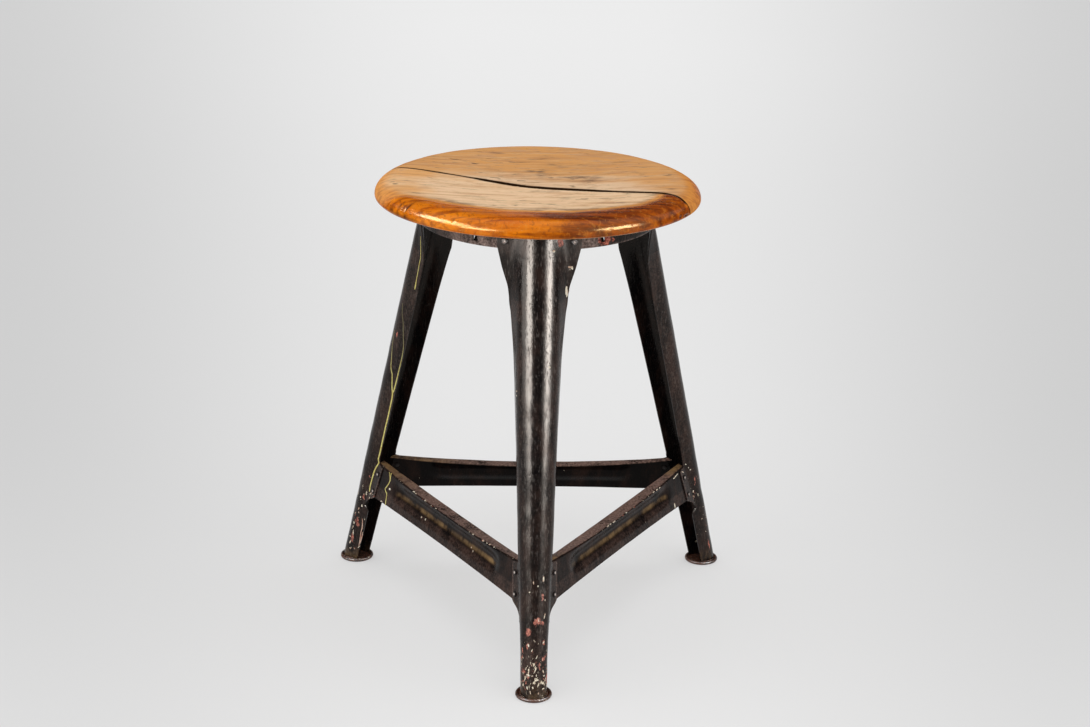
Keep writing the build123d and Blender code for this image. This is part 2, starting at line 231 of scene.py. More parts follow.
def grid_faces(rows, columns, start=0, flip=False, wrap=False):
    """Quads of a grid of points stored row by row."""
    faces = []
    for i in range(rows - 1):
        low, high = start + i * columns, start + (i + 1) * columns
        for j in range(columns if wrap else columns - 1):
            k = (j + 1) % columns
            quad = [low + j, low + k, high + k, high + j]
            faces.append(quad[::-1] if flip else quad)
    return faces


def tube_faces(rows, around):
    """Quads and two end faces of a tube whose points are stored ring by ring."""
    ends = [list(range(around))[::-1], [(rows - 1) * around + k for k in range(around)]]
    return grid_faces(rows, around, wrap=True) + ends


def grid_normals(grid):
    """Unit normals of a grid of points, from the differences along its rows and columns."""
    normals = np.cross(np.gradient(grid, axis=1), np.gradient(grid, axis=0))
    return normals / np.maximum(np.linalg.norm(normals, axis=2, keepdims=True), 1e-9)


def sheet_mesh(outer, normals):
    """Closed sheet behind a grid of outer points: its points, outer ones first, and its faces."""
    rows, columns, _ = outer.shape
    count = rows * columns
    points = np.concatenate([outer.reshape(-1, 3), (outer - normals * SHEET).reshape(-1, 3)])
    faces = grid_faces(rows, columns, flip=True) + grid_faces(rows, columns, start=count)
    border = [*range(columns), *range(2 * columns - 1, count, columns)]
    border += [*range(count - 2, count - columns - 1, -1), *range(count - 2 * columns, 0, -columns)]
    faces += [[a, b, b + count, a + count] for a, b in zip(border, border[1:] + border[:1])]
    return points, faces


def revolved(profile, steps, centre=(0, 0, 0), normal=(0, 0, 1)):
    """Closed body of revolution: profile is (radius, height) from the axis round to the axis."""
    centre, z_axis = Vector(centre), Vector(normal).normalized()
    x_axis = z_axis.orthogonal().normalized()
    y_axis = z_axis.cross(x_axis)
    points, middle = [], profile[1:-1]
    for radius, height in middle:
        for k in range(steps):
            a = 2 * pi * k / steps
            points.append(centre + x_axis * radius * cos(a) + y_axis * radius * sin(a) + z_axis * height)
    faces = grid_faces(len(middle), steps, wrap=True)
    for end, row in ((profile[0], 0), (profile[-1], len(middle) - 1)):
        tip = len(points)
        points.append(centre + z_axis * end[1])
        for k in range(steps):
            a, b = row * steps + k, row * steps + (k + 1) % steps
            faces.append([tip, b, a] if row == 0 else [tip, a, b])
    return np.array([list(p) for p in points]), faces


def joined(parts):
    """Several (points, faces) as one."""
    points, faces, start = [], [], 0
    for some_points, some_faces in parts:
        points.append(some_points)
        faces += [[start + i for i in face] for face in some_faces]
        start += len(some_points)
    return np.concatenate(points), faces


# ---------------------------------------------------------------- materials


class Value:
    """A number in a material, so that sums, differences and products are written as arithmetic."""

    def __init__(self, nodes, socket):
        self.nodes, self.socket = nodes, socket

    def __add__(self, other):
        return self.nodes.math("ADD", self, other)

    def __radd__(self, other):
        return self.nodes.math("ADD", other, self)

    def __sub__(self, other):
        return self.nodes.math("SUBTRACT", self, other)

    def __rsub__(self, other):
        return self.nodes.math("SUBTRACT", other, self)

    def __mul__(self, other):
        return self.nodes.math("MULTIPLY", self, other)


class Nodes:
    """Short way to write a material's node tree."""

    def __init__(self, name):
        self.material = bpy.data.materials.new(name)
        self.material.use_nodes = True
        self.tree = self.material.node_tree
        self.shader = self.tree.nodes["Principled BSDF"]
        self.place = self.add("ShaderNodeTexCoord").outputs["Object"]

    def add(self, kind, inputs=None, **settings):
        node = self.tree.nodes.new(kind)
        for key, value in settings.items():
            setattr(node, key, value)
        for key, value in (inputs or {}).items():
            self.feed(node.inputs[key], value)
        return node

    def feed(self, socket, value):
        value = value.socket if isinstance(value, Value) else value
        if isinstance(value, bpy.types.NodeSocket):
            self.tree.links.new(value, socket)
        else:
            socket.default_value = value

    def value(self, kind, inputs=None, output=0, **settings):
        return Value(self, self.add(kind, inputs, **settings).outputs[output])

    def math(self, operation, a, b=0.0):
        return self.value("ShaderNodeMath", {0: a, 1: b}, operation=operation)

    def most(self, a, b):
        return self.math("MAXIMUM", a, b)

    def masks(self, names):
        """Values of the mesh's own masks, by name."""
        kind = "ShaderNodeAttribute"
        return [self.value(kind, output="Fac", attribute_name=name) for name in names.split()]

    def axes(self):
        """The place's x, y and z."""
        return [Value(self, s) for s in self.add("ShaderNodeSeparateXYZ", {"Vector": self.place}).outputs]

    def stretch(self, scale, offset=(0, 0, 0), turn=(0, 0, 0)):
        inputs = {"Vector": self.place, "Scale": scale, "Location": offset, "Rotation": turn}
        return self.add("ShaderNodeMapping", inputs).outputs[0]

    def noise(self, vector, scale, detail=4.0, rough=0.55, distort=0.0):
        inputs = {"Vector": vector, "Scale": scale, "Detail": detail, "Roughness": rough}
        return self.value("ShaderNodeTexNoise", {**inputs, "Distortion": distort}, "Fac")

    def ramp(self, value, low, high):
        """Smooth step from 0 at low to 1 at high."""
        inputs = {"Value": value, "From Min": low, "From Max": high}
        return self.value("ShaderNodeMapRange", inputs, interpolation_type="SMOOTHSTEP")

    def mix(self, amount, a, b):
        """Colour a where the amount is 0, colour b where it is 1."""
        a, b = ((*tone, 1.0) if isinstance(tone, tuple) else tone for tone in (a, b))
        return self.add("ShaderNodeMix", {"Factor": amount, 6: a, 7: b}, data_type="RGBA").outputs[2]

    def layers(self, color, *layers):
        """Colour with (amount, colour) layers laid over it one after another."""
        for amount, tone in layers:
            color = self.mix(amount, color, tone)
        return color

    def bumps(self, *layers):
        """Normal from (height, strength, distance) layers, each on those before it."""
        under = {}
        for height, strength, distance in layers:
            inputs = {"Height": height, "Strength": strength, "Distance": distance, **under}
            under = {"Normal": self.add("ShaderNodeBump", inputs).outputs[0]}
        return under["Normal"]

    def finish(self, color, roughness, normal=None, **constants):
        self.feed(self.shader.inputs["Base Color"], color)
        self.feed(self.shader.inputs["Roughness"], roughness)
        if normal is not None:
            self.feed(self.shader.inputs["Normal"], normal)
        for key, value in constants.items():
            self.shader.inputs[key.replace("_", " ")].default_value = value
        return self.material


# Tones laid where the rubbed mask is: worn steel, and also painted light and painted reflection on lit
# flanges, faces and edges.
WORN_STEEL_AND_SHEEN = (0.098, 0.055, 0.044), (0.27, 0.17, 0.135)
PALE_STEEL_AND_SHEEN = (0.18, 0.12, 0.105), (0.4, 0.3, 0.265)


def black_enamel(name, gloss_index, steel=WORN_STEEL_AND_SHEEN, rust_from=0.42):
    """Worn glossy black enamel: brown cast, rubbed patches (on some pieces also painted light and painted
    reflection), red primer, cream specks and rust.
    """
    n = Nodes(name)
    worn, rust, wear_and_light_mask, primer = n.masks("worn rust rubbed primer")
    cloud = n.noise(n.stretch((1, 1, 0.45)), 60.0, 6.0, 0.62)
    fine = n.noise(n.place, 420.0, 5.0, 0.65)
    grit = n.noise(n.stretch((1, 1, 0.5)), 1500.0, 1.0, 0.5)
    hatch = n.noise(n.stretch((600, 600, 130), turn=(radians(34), radians(24), 0)), 1.0, 3.0, 0.6, 0.3)
    spots = n.noise(n.stretch((1, 1, 0.5)), 150.0, 6.0, 0.68, 0.3)
    flakes = n.noise(n.stretch((1, 1, 0.4), (3.1, 1.7, 0.4)), 330.0, 5.0, 0.62)
    waves = n.noise(n.stretch((1, 1, 0.4)), 95.0, 2.0, 0.5)
    blend = cloud * 0.6 + fine * 0.4
    # rubbed mask: worn patches, plus painted light and painted reflection where a piece sets it for that
    wear_and_light = n.math("MINIMUM", wear_and_light_mask * n.ramp(blend, 0.3, 0.6), 1.0)
    red = n.math("GREATER_THAN", spots, 0.745 - worn * 0.17)
    red = n.most(red, n.ramp(primer + (spots - 0.5) * 2.2, 0.52, 0.6))
    cream = n.math("GREATER_THAN", flakes, 0.755 - worn * 0.145)
    rusty = rust * n.ramp(blend, rust_from, rust_from + 0.18)
    color = n.layers(
        n.mix(n.ramp(cloud, 0.42, 0.72), (0.0036, 0.0031, 0.0033), (0.018, 0.0092, 0.007)),
        # worn steel tone, also serving as painted light and painted reflection
        (wear_and_light, n.mix(n.ramp(fine, 0.35, 0.7), *steel)),
        (red, n.mix(n.ramp(fine, 0.4, 0.62), (0.11, 0.018, 0.014), (0.52, 0.17, 0.115))),
        (cream, (0.7, 0.6, 0.45)),
        (rusty, n.mix(n.ramp(cloud, 0.35, 0.65), (0.06, 0.03, 0.012), (0.235, 0.145, 0.062))),
    )
    bare = n.most(n.most(red, cream), rusty * 0.8)
    rough = 0.12 + (cloud * 0.12 + n.ramp(n.axes()[2], 0.434, 0.452) * 0.08)
    rough = rough + n.ramp(hatch, 0.57, 0.62) * 0.3 + n.most(bare, wear_and_light * 0.6) * 0.36
    normal = n.bumps(
        (waves, 0.12, 0.002),
        (n.noise(n.place, 420.0, 2.0, 0.5), 0.3, 0.00018),
        (hatch, 0.42, 0.0002),
        (grit, 0.4, 0.00005),
        (1.0 - bare, 0.5, 0.00025),
    )
    return n.finish(color, rough, normal, IOR=gloss_index, Specular_Tint=(1.0, 0.91, 0.82, 1.0))


def seat_wood():
    """Light hardwood: dull pinkish tan where it is worn, amber varnish on the front and its rim."""
    n = Nodes("seat_wood")
    varnish, pale, band, grime, stain, dent, cut = n.masks("varnish pale band grime stain dent cut")

    def figure(scale, detail, rough, distort=0.0, offset=(0, 0, 0), turn=3):
        """Noise drawn out along the boards."""
        return n.noise(n.stretch(scale, offset, (0, 0, radians(turn))), 1.0, detail, rough, distort)

    grain = figure((10, 150, 150), 7.0, 0.62, 0.35)
    streak = figure((24, 480, 420), 5.0, 0.6, 0.2, (0.3, 0.1, 0))
    cloud = figure((13, 30, 30), 5.0, 0.6, offset=(1.3, 0.2, 0))
    patch = figure((34, 78, 78), 6.0, 0.65, offset=(0.7, 2.2, 0))
    checks = figure((70, 420, 300), 3.0, 0.55, offset=(5.1, 0.4, 0))
    marks = figure((52, 165, 165), 2.5, 0.5, offset=(2.1, 3.3, 0))
    ripple = figure((210, 150, 150), 4.0, 0.6, 0.8, (0.2, 0.9, 0.4), 30)
    olive = n.ramp(checks, 0.54, 0.64) * n.ramp(cloud, 0.46, 0.58)
    dark = n.ramp(checks, 0.645, 0.7) * n.ramp(patch, 0.46, 0.58)
    marked = n.ramp(marks, 0.642, 0.675) * n.ramp(cloud, 0.48, 0.6)
    stained = stain * n.ramp(patch * 0.5 + checks * 0.5, 0.42, 0.56)
    grimy = grime * n.ramp(patch * 0.6 + checks * 0.4, 0.42, 0.58)
    worn_edge = varnish + (patch - 0.5) * 0.36
    glazed = n.ramp(worn_edge, 0.34, 0.76)
    faded = pale + (cloud - 0.5) * 1.5
    shade = band + (patch - 0.5) * 0.9
    tan_tone = n.layers(
        n.mix(n.ramp(faded, 0.15, 0.85), (0.64, 0.305, 0.1), (0.735, 0.5, 0.315)),
        (n.ramp(streak, 0.5, 0.66) * 0.45, (0.7, 0.5, 0.29)),
        (n.ramp(patch, 0.5, 0.64) * 0.5, (0.5, 0.275, 0.15)),
        (n.ramp(grain, 0.47, 0.66) * 0.55, (0.44, 0.205, 0.085)),
        (olive * 0.45, (0.3, 0.225, 0.13)),
        (dark * 0.92, (0.065, 0.04, 0.028)),
        (marked * 0.8, (0.105, 0.06, 0.034)),
        (n.math("MINIMUM", stained * 1.1, 0.9), (0.115, 0.072, 0.052)),
    )
    bright = n.layers(
        n.mix(n.ramp(cloud, 0.34, 0.66), (0.6, 0.128, 0.002), (0.79, 0.215, 0.002)),
        (n.ramp(grain, 0.44, 0.62) * 0.7, (0.27, 0.044, 0.003)),
    )
    deep = n.mix(n.ramp(grain, 0.38, 0.66), (0.33, 0.062, 0.003), (0.11, 0.019, 0.004))
    amber = n.layers(
        n.mix(n.ramp(shade, 0.2, 0.8), bright, deep),
        (n.ramp(ripple, 0.54, 0.64) * 0.45, (0.15, 0.03, 0.005)),
        (n.ramp(ripple, 0.44, 0.36) * 0.3, (0.66, 0.24, 0.03)),
    )
    rubbed_tone = n.mix(n.ramp(grain, 0.42, 0.66), (0.64, 0.255, 0.048), (0.45, 0.155, 0.032))
    color = n.layers(
        tan_tone,
        (n.ramp(worn_edge, 0.02, 0.38), rubbed_tone),
        (grimy * 0.72, (0.135, 0.088, 0.058)),
        (glazed, amber),
        # dark dents, and painted shade on the lower left part of the rim
        (dent * 0.9, (0.032, 0.011, 0.006)),
        # joint's sides: dirt, and painted shade of the open joint
        (cut, (0.026, 0.008, 0.0025)),
    )
    dull, gloss = 0.78 + grain * 0.2, 0.13 + patch * 0.1
    rough = n.value("ShaderNodeMix", {"Factor": glazed, 2: dull, 3: gloss}, data_type="FLOAT")
    open_wood = 1.0 - glazed * 0.75
    normal = n.bumps(
        (figure((10, 150, 150), 3.0, 0.5, 0.35) * open_wood, 0.5, 0.0005),
        (figure((24, 480, 420), 1.0, 0.5) * open_wood, 0.4, 0.00022),
        (1.0 - dark, 0.5, 0.0005),
        (figure((210, 150, 150), 1.0, 0.5, turn=30), 0.3, 0.00022),
    )
    return n.finish(color, n.most(rough, cut * 0.75), normal, IOR=1.37, Specular_Tint=(1.0, 0.76, 0.34, 1.0))


def glinting_rivet():
    """Rivet heads: enamel worn to brown steel on the crown, whose pale centre is also a painted glint."""
    n = Nodes("rivet_steel")
    crown, = n.masks("crown")
    fine = n.noise(n.place, 900.0, 5.0, 0.6)
    color = n.layers(
        n.mix(n.ramp(fine, 0.35, 0.65), (0.004, 0.003, 0.003), (0.016, 0.009, 0.007)),
        # pale crown: worn steel with a painted glint at the head's centre
        (crown * n.ramp(fine, 0.3, 0.52), (0.7, 0.6, 0.55)),
    )
    return n.finish(color, 0.3 + fine * 0.25, n.bumps((fine, 0.3, 0.0003)), IOR=1.28)


def rusty_foot():
    """Foot discs: dark worn enamel going to red-brown rust, with cream specks."""
    n = Nodes("foot_steel")
    cloud = n.noise(n.place, 170.0, 5.0, 0.6)
    fine = n.noise(n.place, 700.0, 5.0, 0.65)
    color = n.layers(
        n.mix(n.ramp(cloud, 0.38, 0.6), (0.012, 0.006, 0.005), (0.07, 0.022, 0.01)),
        (n.ramp(fine, 0.5, 0.62) * 0.7, (0.13, 0.045, 0.018)),
        (n.ramp(n.noise(n.place, 420.0, 4.0, 0.6), 0.64, 0.67), (0.6, 0.5, 0.38)),
    )
    return n.finish(color, 0.24 + fine * 0.35, n.bumps((fine, 0.5, 0.0006)), IOR=1.4)


def screw_steel():
    """Bright wood screws, browned in places."""
    n = Nodes("screw_steel")
    fine = n.noise(n.place, 700.0, 4.0, 0.6)
    color = n.mix(n.ramp(fine, 0.4, 0.65), (0.45, 0.43, 0.4), (0.2, 0.13, 0.09))
    return n.finish(color, 0.25 + fine * 0.3, n.bumps((fine, 0.3, 0.0002)), Metallic=1.0)


def spilt_paint(name, tone, shade, dull):
    """Old spilt paint: clouded colour, duller where the mask says that it is rubbed thin."""
    n = Nodes(name)
    cloud = n.noise(n.place, 260.0, 5.0, 0.6)
    fine = n.noise(n.place, 1200.0, 4.0, 0.6)
    thin, = n.masks("thin")
    color = n.mix(thin, n.mix(n.ramp(cloud, 0.44, 0.62), tone, shade), dull)
    return n.finish(color, 0.36 + fine * 0.2, n.bumps((fine, 0.25, 0.0002)), IOR=1.4)


# ---------------------------------------------------------------- legs


def plate_point(u, v, d=0.0):
    """Point of the rear stretcher: u along it towards the left leg, v up the plate, d outwards."""
    y, z = PLATE_DISTANCE - v * sin(TILT) + d * cos(TILT), PLATE_Z + v * cos(TILT) + d * sin(TILT)
    return np.array([-u, y, z])


def bent_path(z):
    """Right half of the front leg's outer line at height z, as (across, radius) from nose to free edge."""
    nose, half = smooth_table(NOSE_TABLE, z, 12), smooth_table(HALF_TABLE, z, 10)
    centre = NOSE_AT_FLOOR - NOSE_LEAN * z - nose
    mouth = max(MOUTH_AT_FLOOR - MOUTH_LEAN * z, MOUTH_AT_RING)
    depth = centre - mouth
    touch = atan2(depth, half) - acos(nose / hypot(half, depth))
    arc = [(nose * cos(a), centre + nose * sin(a)) for a in np.linspace(pi / 2, -touch, 19)]
    start, end = np.array(arc[-1]), np.array([half, mouth])
    flank = (end - start) / np.linalg.norm(end - start)
    corner, direction, length = end - flank * 3, flank, 3.0
    # ear, on the outside of the stretcher's plate
    v = (z - PLATE_Z) / cos(TILT)
    share = smoothstep(-50, -42, v) * (1 - smoothstep(16.5, 20.5, v))
    if share > 0:
        reach = PLATE_DISTANCE - (z - PLATE_Z) * tan(TILT) + (SHEET + 0.05) / cos(TILT)
        along, normal = np.array([0.5, -COS30]), np.array([COS30, 0.5])
        crossing = start + flank * (reach - start @ normal) / (flank @ normal)
        from_middle = COS30 * crossing[1] - 0.5 * crossing[0]
        ear = max(from_middle - smooth_table(EAR_TABLE, v, 1.2), 0.6)
        corner = between(corner, crossing, share)
        direction = between(flank, along, share)
        length = between(length, ear, share)
    # wing, on the outside of the ring
    share = float(smoothstep(384, 408, z))
    if share > 0:
        step = 0.0
        while hypot(*(start + flank * step)) > WING_RADIUS:
            step += 0.05
        crossing = start + flank * step
        wing = max((smooth_table(WING_TABLE, z, 3) - crossing[0]) * 1.03, 0.5)
        corner = between(corner, crossing, share)
        direction = between(direction, np.array([crossing[1], -crossing[0]]) / WING_RADIUS, share)
        length = between(length, wing, share)
    direction = direction / np.linalg.norm(direction)
    bend = min(4.5, length * 0.7, np.linalg.norm(corner - start) * 0.4)
    before, after = corner - flank * bend, corner + direction * bend
    path = arc[:-1] + [between(start, before, t) for t in np.linspace(0, 1, 9)[:-1]]
    for t in np.linspace(0, 1, 7)[:-1]:
        path.append(between(between(before, corner, t), between(corner, after, t), t))
    flap = [after + direction * (length - bend) * t for t in np.linspace(0, 1, 8)]
    for point in flap:
        if share > 0 and abs(point[0]) < WING_RADIUS:
            point[1] += (sqrt(WING_RADIUS**2 - point[0] ** 2) - point[1]) * share
    return np.array(path + flap)


def leg_surface():
    """Outer points and normals of the front leg, row by row from the floor up."""
    rows = []
    for z in LEG_LEVELS:
        half = bent_path(z)
        right = np.column_stack([half[:, 0], -half[:, 1], np.full(len(half), z)])
        left = right * np.array([-1, 1, 1])
        rows.append(np.concatenate([left[:0:-1], right]))
    grid = np.array(rows)
    return grid, grid_normals(grid)


# heights of the leg's rows, closer together where its outline changes
LEG_LEVELS = spaced((LEG_FOOT, 78, 36), (78, 146, 72), (146, 385, 66), (385, 462, 46), (462, LEG_TOP, 7))
LEG_GRID, LEG_NORMALS = leg_surface()
LEG_SHEETS = {}
# (across, height, half width, half height, depth) of hollows in each leg's sheet
LEG_DENTS = {
    "front": [(-14, 444, 7, 1.8, 0.35), (9, 300, 9, 14, 0.25), (-8, 205, 8, 18, 0.25), (11, 120, 6, 9, 0.3)],
    "left": [(-9, 330, 8, 15, 0.3), (8, 90, 7, 8, 0.35)],
    "right": [(10, 352, 9, 12, 0.3), (-9, 96, 7, 9, 0.4)],
}
# (column of the sheet, height, half width, half height, strength) of places bared to the red primer
BARED = {
    "front": [
        (64, 460, 3, 5, 1), (39, 82, 2, 5, 0.9), (42, 83, 1.5, 4, 0.8), (46, 80, 2, 3, 0.8),
        (34, 71, 2.5, 5, 1), (33, 57, 2, 7, 0.9), (47, 60, 2, 4, 0.8), (48, 43, 3, 5, 0.9),
        (37, 46, 1.5, 3, 0.7), (41, 46, 1.5, 3, 0.7), (34, 26, 2, 5, 0.8), (48, 24, 2.5, 6, 0.7),
        (45, 108, 1.5, 10, 0.55),
    ],
    "left": [
        (58, 50, 6, 14, 0.55), (55, 25, 5, 10, 0.75), (54, 296, 1.2, 3, 0.9), (60, 340, 4, 30, 0.25),
        (57, 88, 4, 9, 0.6), (78, 93, 3, 3, 0.9),
    ],
    "right": [(20, 110, 4, 14, 0.55), (26, 60, 3, 20, 0.5), (24, 25, 4, 10, 0.5)],
}


def leg_piece(place, turn, seed, material):
    """Bent sheet of a leg, with the slight hollows and waves that hand work and use leave in it."""
    across, up = LEG_GRID[:, :, 0], LEG_GRID[:, :, 2]
    flat = LEG_GRID.reshape(-1, 3)
    waves = lumps(flat, seed, 46, 2) * 0.16 + lumps(flat * np.array([1, 1, 0.5]), seed + 1, 17, 1) * 0.05
    middle = np.exp(-((across / 34.0) ** 4)) * smoothstep(18, 40, up) * (1 - smoothstep(380, 450, up) * 0.6)
    pull = (0.22 + waves.reshape(up.shape)) * middle
    grid = LEG_GRID - LEG_NORMALS * pull[:, :, None]
    grid = grid - LEG_NORMALS * blots(across, grid[:, :, 2], LEG_DENTS[place])[:, :, None]
    LEG_SHEETS[place] = grid
    points, faces = sheet_mesh(grid, LEG_NORMALS)
    z, edge = points[:, 2], np.abs(points[:, 0]) / 30.0
    rows, columns = up.shape
    inside = np.repeat([0.0, 1.0], rows * columns)
    column = np.tile(np.arange(columns), 2 * rows)
    low = bell(z, 45, 42)
    rubbed = 0.05 + 0.1 * smoothstep(0.35, 0.8, edge) * (z < 400)
    # lighter strip along the ears' free edges: partly wear, partly a painted highlight
    rubbed += 0.32 * ((column < 2) | (column > columns - 3)) * (z > 78) * (z < 150)
    if place == "front":
        worn = 0.95 * bell(z, 22, 30) + 0.3 * low + 0.12 * bell(z, 118, 35) + 0.06
        rubbed += 0.1 * low
    else:
        worn = 0.75 * bell(z, 88, 40) + 0.45 * bell(z, 25, 22)
    masks = {
        "worn": np.clip(worn, 0, 1) * (1 - inside * 0.9),
        "rust": np.clip(1 - z / 20.0, 0, 1) * (0.42 - 0.3 * inside),
        "rubbed": np.clip(rubbed, 0, 0.7) * (1 - inside),
        "primer": np.clip(blots(column, z, BARED[place]), 0, 1) * (1 - inside),
    }
    piece = add_piece("leg_" + place + "_sheet", turned(points, turn), faces, material, "black_enamel", masks)
    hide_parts("leg_" + place)
    soften(piece, 0.35)


# ---------------------------------------------------------------- stretchers


def plate_end(point):
    """How far along the stretcher the leg's mouth plane cuts the line through a point at its middle."""
    return (PLATE_END_AT_FLOOR - point[1] * 0.5 - MOUTH_LEAN * point[2]) / COS30


def stretcher_line(u):
    """Points across the rear stretcher at u: those of plate and fold, their places v, and the flange's."""
    bow = (u / HALF_SPAN) ** 2
    foot = PLATE_FOOT + FOOT_RISE - FOOT_RISE * bow
    top = PLATE_TOP - TOP_DIP + TOP_DIP * bow
    width = FLANGE - FLANGE_TAPER * bow
    line = [(v, 0.0) for v in np.linspace(foot, top - FOLD, PLATE_ROWS)]
    line += [(top - FOLD + FOLD * sin(a), FOLD * (1 - cos(a))) for a in np.linspace(0, pi / 2 - TILT, 7)[1:]]
    end_v, end_in = line[-1]
    points = [plate_point(0, v, -run) for v, run in line]
    level = plate_point(0, end_v, -end_in * cos(TILT))
    flange = [level + np.array([0, -run, 0]) for run in np.linspace(0, width - end_in, 8)[1:]]
    return points, [v for v, _ in line], flange


def bead(u, v):
    """How deep the long pressed bead is at a place of the plate."""
    half = BEAD_HEIGHT / 2
    off = np.hypot(max(abs(u) - (BEAD_HALF - half), 0.0), v - BEAD_CENTRE)
    run_out = 1 - 0.8 * float(smoothstep(BEAD_HALF - 24, BEAD_HALF + 2, abs(u)))
    return BEAD_DEPTH * float(smoothstep(-4.0, 8.6, half - off)) * run_out


def stretcher_points(share):
    """One column of the rear stretcher's outer points; share runs from -1 to 1 between its ends."""
    plate, heights, flange = stretcher_line(share * STRETCHER_REACH)
    for point in plate + flange:
        point[0] = -share * plate_end(point)
    pressed = [point - PLATE_NORMAL * bead(-point[0], v) for point, v in zip(plate, heights)]
    return pressed + flange


SHARES = spaced((-1, -0.62, 44), (-0.62, 0.62, 66), (0.62, 1, 44))
STRETCHER_GRID = np.array([stretcher_points(share) for share in SHARES]).transpose(1, 0, 2)
# which end of the flange is ochre with rust: 1 and -1 for one end, 0 for both
OCHRE_END = {"rear": 1, "left": -1, "right": 0}


def stretcher_piece(place, turn, seed, material):
    """Pressed plate of a stretcher with its flange: ochre in the bead and on the flange's ends."""
    normals = grid_normals(STRETCHER_GRID)
    if normals[10, 40] @ PLATE_NORMAL < 0:
        normals = -normals
    rows, columns, _ = STRETCHER_GRID.shape
    ends = 1 - smoothstep(128, 150, np.abs(STRETCHER_GRID[:, :, 0]))
    waves = lumps(STRETCHER_GRID.reshape(-1, 3), seed, 60, 2) * 0.14 + 0.18
    grid = STRETCHER_GRID - normals * (waves.reshape(rows, columns) * ends)[:, :, None]
    points, faces = sheet_mesh(grid, normals)
    row = np.tile(np.repeat(np.arange(rows), columns), 2)
    outside = np.repeat([1.0, 0.0], rows * columns)
    plate = outside * (row < PLATE_ROWS)
    x, v = points[:, 0], (points[:, 2] - PLATE_Z) / cos(TILT)
    u = np.abs(x)
    low_strip = (1 - smoothstep(BEAD_CENTRE - 9.5, BEAD_CENTRE - 6.0, v)) * plate
    floor = (1 - smoothstep(0.5, 3.8, np.abs(v - BEAD_CENTRE + 3.0))) * (1 - smoothstep(108, 118, u)) * plate
    top = smoothstep(48.5, 52.0, row) * outside
    fold = bell(row, 48.0, 2.0) * outside
    end = OCHRE_END[place]
    ochre = top * (smoothstep(60, 150, -x * end) if end else smoothstep(118, 150, u))
    patchy = 0.62 + 0.42 * np.sin(x / 11.5 + seed) * np.sin(x / 26.0 + 0.4 * seed)
    masks = {
        "worn": np.clip(fold * 0.8 + top * 0.2 + 0.05 * smoothstep(110, 165, u), 0, 1),
        "rust": np.clip(floor * patchy + ochre * 0.9, 0, 1),
        # flange top: wear plus painted light from above; low strip and outer face: lightened as painted
        # reflection
        "rubbed": np.clip(top * 1.25 + 0.17 * low_strip + 0.05 * outside, 0, 1.25),
    }
    name = "stretcher_" + place + "_plate"
    piece = add_piece(name, turned(points, turn), faces, material, "black_enamel", masks)
    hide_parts("stretcher_" + place)
    soften(piece, 0.3)


# ---------------------------------------------------------------- ring


